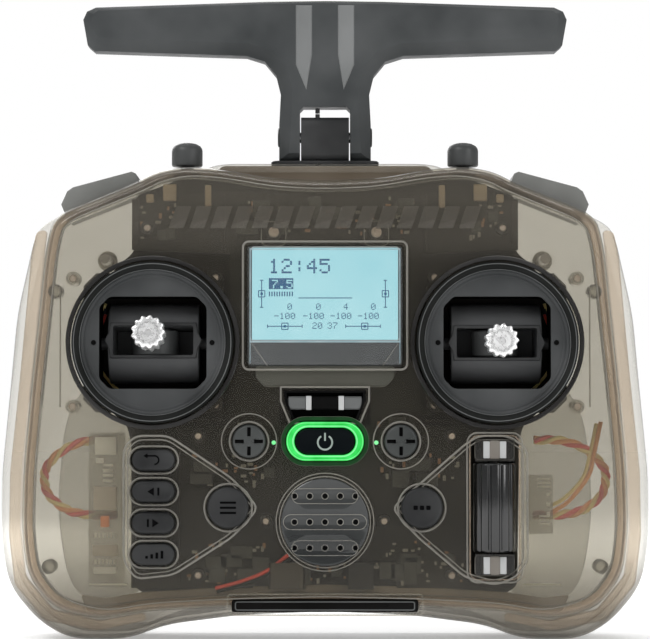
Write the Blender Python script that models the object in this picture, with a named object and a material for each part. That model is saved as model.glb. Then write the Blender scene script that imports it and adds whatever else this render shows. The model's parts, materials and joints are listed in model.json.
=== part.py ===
"""A compact two-stick radio transmitter controller, as separate parts in one frame.

Units are millimetres inside this script and metres in the scene. +X is to the right of
someone looking at the face, -Y is out of the face and +Z is up, towards the antenna. The
origin is the middle of the footprint on the surface that the two lower corners stand on.
"""

import math

import bmesh
import bpy
from mathutils import Matrix, Vector

MM = 0.001
GAP = 0.3

# The case: half outlines, from the top centre round to the bottom centre.
MIDDLE_Z = 57.0
REAR_HALF = (
    (0, 114.5), (26, 114.5), (31, 112.3), (44.3, 109.8), (66.6, 100.9), (70.2, 98.0),
    (74.6, 78.0), (76.0, 62.0), (78.3, 38.0), (78.3, 24.0), (76.5, 13.0), (69.3, 4.4),
    (61.5, 0.0), (47.5, 0.0), (38.5, 3.5), (20.0, 5.8), (0, 6.6),
)
FRONT_HALF = (
    (0, 109.6), (13, 110.2), (24, 112.2), (33, 113.0), (40, 111.8), (45.5, 109.0),
    (64.6, 101.3), (66.6, 94.0), (69.9, 62.0), (71.8, 41.0), (72.2, 26.0), (70.8, 15.5),
    (64.5, 7.6), (54.0, 5.0), (43.0, 7.0), (24.0, 8.0), (0, 8.6),
)
CORNER_CUT = 5.0
FACE_Y = -13.2
FACE_INNER_Y = -11.4
FRONT_RIM_Y = -3.0
BACK_Y = 22.8
BACK_INNER_Y = 20.8
# Each station is y, then the outline's scale across, above and below the middle.
FRONT_OUTER = (
    (FRONT_RIM_Y, 1.0, 1.0, 1.0), (-10.4, 0.993, 0.993, 0.993), (-12.4, 0.979, 0.979, 0.979),
    (FACE_Y, 0.958, 0.958, 0.958),
)
FRONT_INNER = (
    (FACE_INNER_Y, 0.94, 0.94, 0.94), (-9.8, 0.962, 0.962, 0.962),
    (FRONT_RIM_Y, 0.97, 0.97, 0.97),
)
REAR_OUTER = (
    (-2.6, 0.985, 0.99, 0.988), (0.0, 0.992, 0.993, 1.0), (8.0, 1.0, 1.0, 1.0),
    (15.0, 0.987, 0.988, 1.0),
    (20.0, 0.945, 0.955, 0.985), (BACK_Y, 0.865, 0.89, 0.92),
)
REAR_INNER = (
    (BACK_INNER_Y, 0.86, 0.885, 0.915), (18.0, 0.93, 0.935, 0.955),
    (8.0, 0.972, 0.966, 0.965), (-2.6, 0.957, 0.955, 0.965),
)

# Controls on the face, as x, z of their centres.
GIMBAL_X, GIMBAL_Z = 40.7, 70.7
GIMBAL_PIVOT_Y = -1.2
BEZEL_R = 19.1
DRUM_R = 9.6
DRUM_HALF_LENGTH = 10.8
STICK_TIP_Y = -32.0
STICK_END_LENGTH = 10.8
STICK_END_R = 4.0
THROTTLE_TILT_DEG = 3.6
PILL_KEY_X = -40.4
PILL_KEY_ZS = (43.0, 35.6, 28.2, 20.8)
PILL_KEY_SIZE = (10.1, 4.9)
ROUND_KEY_X, ROUND_KEY_Z, ROUND_KEY_R = 22.8, 31.8, 4.85
TRIM_X, TRIM_Z, TRIM_R = 17.9, 47.4, 3.85
POWER_Z, POWER_SIZE = 47.4, (13.9, 5.9)
RING_SIZE = (18.3, 9.2)
KEY_FRONT_Y = -14.9
ROLLER_X, ROLLER_Y, ROLLER_Z = 40.0, -10.4, 31.8
ROLLER_R, ROLLER_LENGTH = 5.2, 21.0
SPEAKER_Z, SPEAKER_R = 28.4, 9.8
WINDOW = (-18.3, 65.4, 18.3, 93.5)
PANEL = (-17.5, 71.2, 17.5, 93.4)
LANYARD_HOLE = ((-9.6, 59.3), (9.6, 59.3), (9.6, 57.0), (7.7, 52.3), (-7.7, 52.3), (-9.6, 57.0))

# The back.
DOOR = (-37.5, 12.0, 37.5, 56.0)
BAY = (-22.0, 64.0, 22.0, 101.0)
CELL_R, CELL_LENGTH, CELL_Y = 9.2, 65.0, 11.0
CELL_ZS = (24.5, 43.6)
SCREW_PLACES = ((-54.0, 92.0), (54.0, 92.0), (-45.0, 64.0), (45.0, 64.0))
REAR_CONTROL_X, REAR_CONTROL_Z = 34.0, 92.0
DIAL_R, REAR_BUTTON_R = 6.0, 4.5

# The top.
HINGE_Y, HINGE_Z = 6.0, 121.1
FORK_END_R = 6.1
ARM_HALF_DEPTH = 4.5
FORK_INNER_X, FORK_OUTER_X = 6.1, 11.1
CABLE_R = 0.55
CABLE_X = -1.8
TOGGLE_X, TOGGLE_Y, TOGGLE_PIVOT_Z = 33.6, 8.0, 107.0
SHOULDER_START = (44.3, 109.8)
SHOULDER_END = (66.6, 100.9)

CABLE_Y = 2.8
SHOULDER_BACK_Y = 12.0
PORT_HALF, PORT_BOTTOM, PORT_TOP = 22.0, 7.2, 10.4
PORT_FRONT_Y, PORT_BACK_Y = -12.4, -3.6
SOCKET_Y, SOCKET_LOW, SOCKET_HIGH = -8.4, 12.4, 18.6
ROLLER_SLOT = (34.3, 15.0, 45.7, 48.6)
TRIM_PIVOT_Y = -10.6
BOARD_FRONT_Y, BOARD_BACK_Y = -7.6, -6.0
GRIP_OUTLINE = ((43, 12), (54, 5.5), (63.5, 11), (66.5, 30), (64.5, 54), (57, 64), (49, 54), (43, 32))
GRIP_STATIONS = ((BACK_Y + GAP, 1.0), (26.5, 0.98), (30.0, 0.88), (32.2, 0.72), (33.0, 0.5))

SHALLOW_BEND = math.radians(20)
SIDES = (-1, 1)
SIDE_NAMES = ("left", "right")
ROUND = 32
SMALL_ROUND = 14
KEY_ROUND = 20


def material(name, colour, roughness, metallic=0.0):
    """A plain Principled material, made once for each name."""
    made = bpy.data.materials.get(name) or bpy.data.materials.new(name)
    made.use_nodes = True
    shader = made.node_tree.nodes["Principled BSDF"]
    shader.inputs["Base Color"].default_value = (*colour, 1.0)
    shader.inputs["Roughness"].default_value = roughness
    shader.inputs["Metallic"].default_value = metallic
    return made


def black_plastic():
    return material("black_plastic", (0.03, 0.03, 0.032), 0.45)


def grey_plastic():
    return material("grey_plastic", (0.06, 0.065, 0.068), 0.5)


def smoke_plastic():
    return material("smoke_plastic", (0.22, 0.20, 0.18), 0.15)


def pale_plastic():
    return material("pale_plastic", (0.72, 0.71, 0.68), 0.25)


def steel():
    return material("steel", (0.55, 0.55, 0.56), 0.3, 1.0)


def board_green():
    return material("circuit_board", (0.02, 0.03, 0.03), 0.5)


def add_object(name, mesh, finish, helper=False):
    made = bpy.data.objects.new(name, mesh)
    bpy.context.scene.collection.objects.link(made)
    if helper:
        made.hide_render = True
        made.display_type = "WIRE"
    else:
        mesh.materials.append(finish)
        mesh.shade_smooth()
        mesh.set_sharp_from_angle(angle=math.radians(35))
    return made


def mesh_of(name, loops_list):
    """One mesh from a list of bodies; each body is a list of equal loops, capped at both ends."""
    bm = bmesh.new()
    for loops in loops_list:
        rings = [[bm.verts.new(Vector(p) * MM) for p in loop] for loop in loops]
        for one, two in zip(rings, rings[1:]):
            for i, vert in enumerate(one):
                j = (i + 1) % len(one)
                bm.faces.new((vert, one[j], two[j], two[i]))
        bm.faces.new(list(reversed(rings[0])))
        bm.faces.new(rings[-1])
    bmesh.ops.recalc_face_normals(bm, faces=bm.faces)
    mesh = bpy.data.meshes.new(name)
    bm.to_mesh(mesh)
    bm.free()
    return mesh


def along_y(outline, y):
    return [(x, y, z) for x, z in outline]


def prism(outline, y0, y1):
    """An x-z outline drawn out from y0 to y1."""
    return [along_y(outline, y0), along_y(outline, y1)]


def prism_x(outline, x0, x1):
    """A y-z outline drawn out from x0 to x1."""
    return [[(x, y, z) for y, z in outline] for x in (x0, x1)]


def prism_z(outline, z0, z1):
    """An x-y outline drawn out from z0 to z1."""
    return [[(x, y, z) for x, y in outline] for z in (z0, z1)]


def box(x0, x1, y0, y1, z0, z1):
    return prism(((x0, z0), (x1, z0), (x1, z1), (x0, z1)), y0, y1)


def circle(cx, cz, r, n=ROUND):
    return [
        (cx + r * math.cos(2 * math.pi * i / n), cz + r * math.sin(2 * math.pi * i / n))
        for i in range(n)
    ]


def pill(cx, cz, width, height, n=6):
    """A slot outline with half-round ends, longer across."""
    r = height / 2
    reach = width / 2 - r
    points = []
    for side, start in ((1, -90), (-1, 90)):
        for i in range(n + 1):
            angle = math.radians(start + 180 * i / n)
            points.append((cx + side * reach + r * math.cos(angle), cz + r * math.sin(angle)))
    return points


def rectangle(x0, z0, x1, z1, cut=0.0):
    if not cut:
        return [(x0, z0), (x1, z0), (x1, z1), (x0, z1)]
    return [
        (x0 + cut, z0), (x1 - cut, z0), (x1, z0 + cut), (x1, z1 - cut),
        (x1 - cut, z1), (x0 + cut, z1), (x0, z1 - cut), (x0, z0 + cut),
    ]


def grow(bounds, by):
    x0, z0, x1, z1 = bounds
    return (x0 - by, z0 - by, x1 + by, z1 + by)


def turned(profile, centre, n=ROUND, axis="Y"):
    """A body of revolution: profile points are radius, place along the axis."""
    a, b = centre
    loops = []
    for r, along in profile:
        ring = circle(a, b, max(r, 0.02), n)
        if axis == "Y":
            loops.append([(x, along, z) for x, z in ring])
        elif axis == "Z":
            loops.append([(x, y, along) for x, y in ring])
        else:
            loops.append([(along, y, z) for y, z in ring])
    return loops


def rounded(points, cut, steps=2):
    """A closed outline with each corner replaced by a curve that starts cut away from it."""
    smooth = []
    count = len(points)
    for i, corner in enumerate(points):
        here = Vector(corner)
        before, after = Vector(points[i - 1]), Vector(points[(i + 1) % count])
        start = here + (before - here) * min(0.42, cut / (before - here).length)
        end = here + (after - here) * min(0.42, cut / (after - here).length)
        bend = (here - before).angle(after - here)
        pieces = steps if bend > SHALLOW_BEND else 1
        for k in range(pieces + 1):
            t = k / pieces
            smooth.append(tuple((1 - t) ** 2 * start + 2 * t * (1 - t) * here + t * t * end))
    return smooth


def whole(half):
    """Both halves of an outline that is the same on each side."""
    return list(half) + [(-x, z) for x, z in reversed(half[1:-1])]


def scaled(outline, across, above, below):
    return [
        (x * across, MIDDLE_Z + (z - MIDDLE_Z) * (above if z > MIDDLE_Z else below))
        for x, z in outline
    ]


def stations(outline, rows):
    return [along_y(scaled(outline, *scales), y) for y, *scales in rows]


def bevel(made, width, segments=2, angle=40):
    step = made.modifiers.new("edge", "BEVEL")
    step.width = width * MM
    step.segments = segments
    step.limit_method = "ANGLE"
    step.angle_limit = math.radians(angle)
    return made


def pivot(name, place, children, rotation=(0, 0, 0)):
    """An empty on a joint's axis, with its pieces parented so that they keep their places."""
    empty = bpy.data.objects.new(name, None)
    bpy.context.scene.collection.objects.link(empty)
    empty.location = Vector(place) * MM
    for child in children:
        child.parent = empty
        child.matrix_parent_inverse = Matrix.Translation(-empty.location)
    empty.rotation_euler = rotation
    return empty


def speaker_holes():
    """Three rows of small sound holes, with one more at each end of the middle row."""
    holes = []
    for row, count in ((-1, 5), (0, 7), (1, 5)):
        for i in range(count):
            x = 3.6 * (i - (count - 1) / 2)
            holes.append(prism(circle(x, SPEAKER_Z + 6.1 * row, 0.7, 6), FACE_Y - 2, FACE_Y + 4))
    return holes


def through_face(outline):
    return prism(outline, FACE_Y - 4, FACE_INNER_Y + 3)


def hollow_shell(name, outline, outer, inner, finish, cutters):
    """A dish whose outer and inner skins meet at the rim, with one face closing each skin."""
    bm = bmesh.new()
    skins = []
    for rows in (outer, inner):
        rings = [
            [bm.verts.new(Vector(p) * MM) for p in loop] for loop in stations(outline, rows)
        ]
        skins.append(rings)
        for one, two in zip(rings, rings[1:]):
            for i, vert in enumerate(one):
                j = (i + 1) % len(one)
                bm.faces.new((vert, one[j], two[j], two[i]))
    bm.faces.new(skins[0][-1])
    bm.faces.new(skins[1][0])
    rim_out, rim_in = skins[0][0], skins[1][-1]
    for i, vert in enumerate(rim_out):
        j = (i + 1) % len(rim_out)
        bm.faces.new((vert, rim_in[i], rim_in[j], rim_out[j]))
    bmesh.ops.recalc_face_normals(bm, faces=bm.faces)
    mesh = bpy.data.meshes.new(name)
    bm.to_mesh(mesh)
    bm.free()
    return with_helpers(add_object(name, mesh, finish), cutters, "DIFFERENCE")


def with_helpers(made, bodies, operation):
    """Each body becomes a hidden helper that a Boolean joins to the object or cuts from it."""
    for i, body in enumerate(bodies):
        name = f"{made.name}_{operation.lower()}_{i}"
        helper = add_object(name, mesh_of(name, [body]), None, helper=True)
        step = made.modifiers.new(name, "BOOLEAN")
        step.operation = operation
        step.object = helper
    return made


def add(name, body, finish, joins=(), cutters=()):
    """A node from one body, with others joined to it and then others cut from it."""
    made = add_object(name, mesh_of(name, [body]), finish)
    with_helpers(made, joins, "UNION")
    return with_helpers(made, cutters, "DIFFERENCE")


def make_front_shell():
    width, height = PILL_KEY_SIZE
    cuts = [through_face(circle(side * GIMBAL_X, GIMBAL_Z, BEZEL_R + GAP)) for side in SIDES]
    cuts += [through_face(circle(s * TRIM_X, TRIM_Z, TRIM_R + GAP, SMALL_ROUND)) for s in SIDES]
    cuts += [
        through_face(circle(s * ROUND_KEY_X, ROUND_KEY_Z, ROUND_KEY_R + GAP, KEY_ROUND))
        for s in SIDES
    ]
    cuts += [
        through_face(pill(PILL_KEY_X, z, width + 2 * GAP, height + 2 * GAP))
        for z in PILL_KEY_ZS
    ]
    cuts.append(through_face(pill(0, POWER_Z, RING_SIZE[0] + 2 * GAP, RING_SIZE[1] + 2 * GAP)))
    cuts.append(through_face(rectangle(*grow(WINDOW, GAP))))
    cuts.append(through_face(LANYARD_HOLE))
    cuts.append(through_face(rectangle(*ROLLER_SLOT, cut=1.5)))
    cuts.append(box(-PORT_HALF - GAP, PORT_HALF + GAP, -20, PORT_BACK_Y + GAP, 0, PORT_TOP + GAP))
    cuts += speaker_holes()
    outline = rounded(whole(FRONT_HALF), CORNER_CUT)
    hollow_shell("front_shell", outline, FRONT_OUTER, FRONT_INNER, smoke_plastic(), cuts)


def shoulder_outline(side, points):
    """Points given along and above the sloping shoulder, turned into x, z."""
    start, end = Vector(SHOULDER_START), Vector(SHOULDER_END)
    along = (end - start).normalized()
    above = Vector((-along.y, along.x))
    placed = [start + along * u + above * n for u, n in points]
    return [(side * p.x, p.y) for p in placed]


def make_rear_shell():
    cuts = [prism(rectangle(*grow(DOOR, GAP), cut=2.0), BACK_INNER_Y - 4, BACK_Y + 4)]
    cuts.append(prism(rectangle(*grow(BAY, GAP), cut=2.0), BACK_INNER_Y - 4, BACK_Y + 4))
    for x, z in SCREW_PLACES:
        cuts.append(turned(((1.6, 10), (1.6, 21.6), (2.9, 21.6), (2.9, 26)), (x, z), 16))
    for side, r in ((-1, REAR_BUTTON_R), (1, DIAL_R)):
        place = (side * REAR_CONTROL_X, REAR_CONTROL_Z)
        cuts.append(prism(circle(*place, r + GAP, 28), 15, 26))
    for side in SIDES:
        stem = [(side * TOGGLE_X + x, TOGGLE_Y + y) for x, y in circle(0, 0, 2.3, 16)]
        stem = [(x, TOGGLE_Y + 1.8 * (y - TOGGLE_Y)) for x, y in stem]
        cuts.append(prism_z(stem, 108.5, 118))
        slot = ((0.0, -5.0), (20.2, -5.0), (20.2, 6.0), (0.0, 6.0))
        cuts.append(prism(shoulder_outline(side, slot), -6.0, SHOULDER_BACK_Y + GAP))
    cuts.append(turned(((0.9, 108), (0.9, 118)), (CABLE_X, CABLE_Y), 12, "Z"))
    outline = rounded(whole(REAR_HALF), CORNER_CUT)
    hollow_shell("rear_shell", outline, REAR_OUTER, REAR_INNER, pale_plastic(), cuts)


def make_covers():
    """The battery door, the module bay with its cover, and the palm grips on the back."""
    groove = [
        prism(pill(0, DOOR[3] - 5.0 - 2.2 * i, 14, 1.2, 4), BACK_Y - 0.5, BACK_Y + 4)
        for i in range(3)
    ]
    add(
        "battery_door",
        prism(rectangle(*DOOR, cut=2.0), BACK_INNER_Y + 0.1, BACK_Y + 0.3),
        black_plastic(),
        cutters=groove,
    )
    vents = [
        prism(pill(0, BAY[1] + 8.0 + 4.0 * i, 28, 1.4, 4), BACK_Y - 0.7, BACK_Y + 4)
        for i in range(6)
    ]
    add(
        "module_bay_cover",
        prism(rectangle(*BAY, cut=2.0), BACK_INNER_Y + 0.1, BACK_Y + 0.3),
        black_plastic(),
        cutters=vents,
    )
    inside = grow(BAY, -1.4)
    add(
        "module_bay",
        prism(rectangle(*BAY), 9.0, BACK_INNER_Y - 0.4),
        black_plastic(),
        cutters=[prism(rectangle(*inside), 10.4, BACK_Y + 4)],
    )
    palm = rounded(GRIP_OUTLINE, 9.0, 3)
    middle = (sum(x for x, z in palm) / len(palm), sum(z for x, z in palm) / len(palm))
    for side, name in zip(SIDES, SIDE_NAMES):
        loops = []
        for y, scale in GRIP_STATIONS:
            ring = [
                (side * (middle[0] + (x - middle[0]) * scale), middle[1] + (z - middle[1]) * scale)
                for x, z in palm
            ]
            loops.append(along_y(ring, y))
        add(f"grip_{name}", loops, material("grip_rubber", (0.55, 0.55, 0.53), 0.6))


def make_port_cover():
    """The flexible flap along the lower edge, over the charging port and the other sockets."""
    outline = [
        (-PORT_HALF, PORT_BOTTOM), (PORT_HALF, PORT_BOTTOM), (PORT_HALF, PORT_TOP - 0.6),
        (PORT_HALF - 0.6, PORT_TOP), (-PORT_HALF + 0.6, PORT_TOP), (-PORT_HALF, PORT_TOP - 0.6),
    ]
    flap = add("port_cover", prism(outline, PORT_FRONT_Y, PORT_BACK_Y), black_plastic())
    pivot("port_cover_pivot", (0, PORT_BACK_Y, PORT_BOTTOM), [flap])


def make_sockets():
    """The sockets behind the port cover open downwards, and stand on the main board."""
    socket = pill(-9.0, SOCKET_Y, 8.9, 3.2, 5)
    hole = pill(-9.0, SOCKET_Y, 8.3, 2.5, 5)
    low, high = SOCKET_LOW, SOCKET_HIGH
    add("usb_port", prism_z(socket, low, high), steel(), cutters=[prism_z(hole, 10, high - 1)])
    jack = rectangle(5.5, SOCKET_Y - 1.7, 11.5, SOCKET_Y + 1.7)
    add(
        "audio_jack",
        prism_z(jack, low, high),
        black_plastic(),
        cutters=[turned(((1.2, 8), (1.2, high - 1)), (8.5, SOCKET_Y), 12, "Z")],
    )


def make_boards():
    top = [(26.0, 106.8), (46.0, 105.0), (46.0, 93.0), (22.6, 92.0), (22.6, 51.0)]
    lower_right = [(33.4, 51.0), (33.4, 12.6), (17.0, 12.6), (17.0, 19.2)]
    lower_left = [(-17.0, 19.2), (-17.0, 12.6), (-46.0, 12.6), (-46.0, 51.0)]
    points = top + lower_right + lower_left + [(-x, z) for x, z in reversed(top)]
    add("main_board", prism(points, BOARD_FRONT_Y, BOARD_BACK_Y), board_green())
    add(
        "speaker",
        turned(
            ((0, -9.9), (2.6, -9.9), (SPEAKER_R - 1.4, -10.3), (SPEAKER_R - 0.8, -10.9),
             (SPEAKER_R, -10.9), (SPEAKER_R, -8.6), (6.0, -7.9), (0, -7.9)),
            (0, SPEAKER_Z),
            KEY_ROUND,
        ),
        black_plastic(),
    )


def make_display():
    add(
        "display_panel",
        prism(rectangle(*PANEL), -11.6, -8.2),
        material("lit_glass", (0.45, 0.78, 0.80), 0.3),
    )
    body = prism(rectangle(*WINDOW), -13.9, -12.0)
    glass = add("display_window", body, material("clear_plastic", (0.9, 0.95, 0.95), 0.05))
    bevel(glass, 0.5, 1)


def make_lanyard_bar():
    """A bar across the small recess under the display, on two legs from a plate behind it."""
    plate = box(-10.8, 10.8, -9.2, -8.2, 51.4, 60.2)
    legs = [box(s * 7.9 - 0.9, s * 7.9 + 0.9, -12.9, -9.0, 54.9, 58.0) for s in SIDES]
    bar = box(-8.8, 8.8, -13.0, -11.2, 54.9, 58.0)
    add("lanyard_bar", plate, steel(), joins=legs + [bar])


def stepped_key(name, outline, flange, finish, front_y=KEY_FRONT_Y):
    """A key cap with a wider flange behind the case wall, which keeps it in."""
    y_flange = FACE_INNER_Y + GAP
    loops = [
        along_y(shrunk(outline, 0.92), front_y), along_y(outline, front_y + 0.5),
        along_y(outline, y_flange), along_y(flange, y_flange + 0.02), along_y(flange, y_flange + 1.0),
    ]
    return add(name, loops, finish)


def shrunk(outline, scale):
    cx = sum(x for x, z in outline) / len(outline)
    cz = sum(z for x, z in outline) / len(outline)
    return [(cx + (x - cx) * scale, cz + (z - cz) * scale) for x, z in outline]


def make_keys():
    width, height = PILL_KEY_SIZE
    for number, z in enumerate(PILL_KEY_ZS, 1):
        stepped_key(
            f"pill_key_{number}",
            pill(PILL_KEY_X, z, width, height),
            pill(PILL_KEY_X, z, width + 1.6, height + 1.6),
            grey_plastic(),
        )
    for side, name in zip(SIDES, SIDE_NAMES):
        place = (side * ROUND_KEY_X, ROUND_KEY_Z)
        stepped_key(
            f"round_key_{name}",
            circle(*place, ROUND_KEY_R, KEY_ROUND),
            circle(*place, ROUND_KEY_R + 0.9, KEY_ROUND),
            grey_plastic(),
        )
    stepped_key(
        "power_button",
        pill(0, POWER_Z, *POWER_SIZE),
        pill(0, POWER_Z, POWER_SIZE[0] + 1.8, POWER_SIZE[1] + 1.8),
        black_plastic(),
        front_y=-14.6,
    )
    inner = pill(0, POWER_Z, POWER_SIZE[0] + 2 * GAP, POWER_SIZE[1] + 2 * GAP)
    add(
        "power_light_ring",
        prism(pill(0, POWER_Z, *RING_SIZE), -14.2, FACE_INNER_Y),
        material("green_light", (0.2, 0.9, 0.3), 0.3),
        cutters=[prism(inner, -20, -5)],
    )


def make_trims():
    """Each trim pad rocks sideways on a plate, and the plate rocks up and down."""
    for side, name in zip(SIDES, SIDE_NAMES):
        place = (side * TRIM_X, TRIM_Z)
        slots = [box(place[0] - 0.4, place[0] + 0.4, -16, -14.2, TRIM_Z + 1.2, TRIM_Z + 3.4)]
        slots.append(box(place[0] - 0.4, place[0] + 0.4, -16, -14.2, TRIM_Z - 3.4, TRIM_Z - 1.2))
        for lean in SIDES:
            x = place[0] + lean * 2.3
            slots.append(box(x - 1.1, x + 1.1, -16, -14.2, TRIM_Z - 0.4, TRIM_Z + 0.4))
        pad = add(
            f"trim_pad_{name}",
            turned(
                ((0, -14.8), (TRIM_R - 0.5, -14.8), (TRIM_R, -14.4), (TRIM_R, -11.9), (0, -11.9)),
                place,
                KEY_ROUND,
            ),
            grey_plastic(),
            cutters=slots,
        )
        plate = add(
            f"trim_plate_{name}",
            turned(
                ((0, -11.0), (TRIM_R + 0.8, -11.0), (TRIM_R + 0.8, -10.2), (0, -10.2)),
                place,
                KEY_ROUND,
            ),
            black_plastic(),
        )
        pivot(f"trim_pivot_{name}", (place[0], TRIM_PIVOT_Y, TRIM_Z), [pad, plate])


def fluted(cx, cy, r, depth, count):
    """A round outline with a shallow V between each pair of ribs."""
    points = []
    for i in range(2 * count):
        angle = math.pi * i / count
        reach = r - depth * (i % 2)
        points.append((cx + reach * math.cos(angle), cy + reach * math.sin(angle)))
    return points


def make_roller():
    half = ROLLER_LENGTH / 2
    outline = fluted(ROLLER_X, ROLLER_Y, ROLLER_R, 0.45, 16)
    axles = turned(
        ((1.2, ROLLER_Z - half - 3), (1.2, ROLLER_Z + half + 3)), (ROLLER_X, ROLLER_Y), 16, "Z"
    )
    roller = add(
        "roller",
        prism_z(outline, ROLLER_Z - half, ROLLER_Z + half),
        black_plastic(),
        joins=[axles],
    )
    low, high = ROLLER_SLOT[1] + 0.8, ROLLER_SLOT[3] - 0.8
    side_x = 4.6
    back = box(ROLLER_X - side_x, ROLLER_X + side_x, -4.6, -3.4, low, high)
    blocks = [
        box(ROLLER_X - side_x, ROLLER_X + side_x, -13.7, -4.4, z0, z1)
        for z0, z1 in ((low, ROLLER_Z - half - 0.4), (ROLLER_Z + half + 0.4, high))
    ]
    bore = turned(((1.35, 0), (1.35, 60)), (ROLLER_X, ROLLER_Y), 16, "Z")
    carriage = add("roller_carriage", back, grey_plastic(), joins=blocks, cutters=[bore])
    pivot("roller_pivot", (ROLLER_X, ROLLER_Y, ROLLER_Z), [roller, carriage])


def make_gimbal(side, name):
    """Bezel and frame stay put; the drum turns about X; the stick swings sideways in its slot."""
    x0, z0 = side * GIMBAL_X, GIMBAL_Z
    opening = rectangle(x0 - 12.7, z0 - 10.9, x0 + 12.7, z0 + 10.9, 2.4)
    add(
        f"gimbal_bezel_{name}",
        turned(
            ((0, -12.6), (15.9, -12.6), (16.4, -13.6), (17.0, -13.9), (17.3, -15.0),
             (17.7, -15.3), (18.5, -15.3), (BEZEL_R, -14.7), (BEZEL_R, -11.3), (0, -11.3)),
            (x0, z0),
            ROUND,
        ),
        black_plastic(),
        cutters=[prism(opening, -20, -5)],
    )
    outer = rectangle(x0 - 16.5, z0 - 16.5, x0 + 16.5, z0 + 16.5, 3.0)
    inner = rectangle(x0 - 13.4, z0 - 13.4, x0 + 13.4, z0 + 13.4, 1.5)
    bore = turned(((1.8, x0 - 20), (1.8, x0 + 20)), (GIMBAL_PIVOT_Y, z0), 16, "X")
    add(
        f"gimbal_frame_{name}",
        prism(outer, -11.0, 10.2),
        black_plastic(),
        cutters=[prism(inner, -15, 9.0), bore],
    )
    pin = turned(((1.5, x0 - 15.7), (1.5, x0 + 15.7)), (GIMBAL_PIVOT_Y, z0), 16, "X")
    slot = rectangle(x0 - 9.5, z0 - 3.5, x0 + 9.5, z0 + 3.5, 1.2)
    drum = add(
        f"gimbal_yoke_{name}",
        turned(
            ((DRUM_R - 0.5, x0 - DRUM_HALF_LENGTH), (DRUM_R, x0 - DRUM_HALF_LENGTH + 0.5),
             (DRUM_R, x0 + DRUM_HALF_LENGTH - 0.5), (DRUM_R - 0.5, x0 + DRUM_HALF_LENGTH)),
            (GIMBAL_PIVOT_Y, z0),
            ROUND,
            "X",
        ),
        black_plastic(),
        joins=[pin],
        cutters=[prism(slot, -15, GIMBAL_PIVOT_Y + 3.6)],
    )
    hub = turned(((2.9, z0 - 3.1), (2.9, z0 + 3.1)), (x0, GIMBAL_PIVOT_Y), SMALL_ROUND, "Z")
    shaft_end = STICK_TIP_Y + STICK_END_LENGTH + GAP
    shaft = turned(((1.7, GIMBAL_PIVOT_Y), (1.7, shaft_end)), (x0, z0), 16)
    stick = add(f"gimbal_stick_{name}", hub, steel(), joins=[shaft])
    end = make_stick_end(name, x0, z0)
    tilt = math.radians(THROTTLE_TILT_DEG) if side < 0 else 0.0
    pivot(
        f"gimbal_pivot_{name}",
        (x0, GIMBAL_PIVOT_Y, z0),
        [drum, stick, end],
        rotation=(-tilt, 0, 0),
    )


def make_stick_end(name, x0, z0):
    """The metal stick end: two knurled bands with a groove between them and a dished tip."""
    start = STICK_TIP_Y + STICK_END_LENGTH
    rows = (
        (start, 0.7), (start - 0.8, 0.93), (start - 4.6, 0.93), (start - 5.0, 0.78),
        (start - 5.8, 0.78), (start - 6.2, 1.0), (STICK_TIP_Y + 0.7, 1.0), (STICK_TIP_Y, 0.84),
    )
    loops = []
    for y, scale in rows:
        outline = fluted(x0, z0, STICK_END_R * scale, 0.45 * scale, 12)
        loops.append(along_y(outline, y))
    dish = turned(((1.4, STICK_TIP_Y - 1), (1.4, STICK_TIP_Y + 0.5)), (x0, z0), 16)
    return add(f"stick_end_{name}", loops, steel(), cutters=[dish])


def make_toggles():
    for side, name in zip(SIDES, SIDE_NAMES):
        centre = (side * TOGGLE_X, TOGGLE_Y)
        lever = add(
            f"toggle_lever_{name}",
            turned(
                ((1.5, 106.9), (1.6, 114.1), (3.4, 114.2), (3.75, 114.6), (3.75, 118.0),
                 (3.2, 119.2), (2.2, 119.8), (0, 120.0)),
                centre,
                SMALL_ROUND,
                "Z",
            ),
            black_plastic(),
        )
        pivot(f"toggle_pivot_{name}", (*centre, TOGGLE_PIVOT_Z), [lever])
        x = side * TOGGLE_X
        add(f"toggle_switch_{name}", box(x - 4, x + 4, 3.6, 12.4, 97.0, 106.5), steel())


def make_shoulder_buttons():
    profile = (
        (0.4, -2.6), (19.8, -2.6), (19.8, 1.9), (17.3, 4.3), (15.6, 4.7), (1.2, 3.0), (0.4, 2.2),
    )
    for side, name in zip(SIDES, SIDE_NAMES):
        body = prism(shoulder_outline(side, profile), -2.4, SHOULDER_BACK_Y)
        add(f"shoulder_button_{name}", body, black_plastic())


def make_rear_controls():
    x, z = REAR_CONTROL_X, REAR_CONTROL_Z
    add(
        "rear_button",
        turned(
            ((REAR_BUTTON_R, 17.0), (REAR_BUTTON_R, 25.0), (REAR_BUTTON_R - 0.8, 25.8), (0, 25.8)),
            (-x, z),
            KEY_ROUND,
        ),
        black_plastic(),
    )
    loops = [
        along_y(fluted(x, z, DIAL_R * scale, 0.4, 12), y)
        for y, scale in ((17.0, 1.0), (27.2, 1.0), (27.9, 0.9))
    ]
    pointer = box(x - 0.4, x + 0.4, 27.3, 29, z + 1.5, z + 5.0)
    add("rear_dial", loops, black_plastic(), cutters=[pointer])


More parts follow.
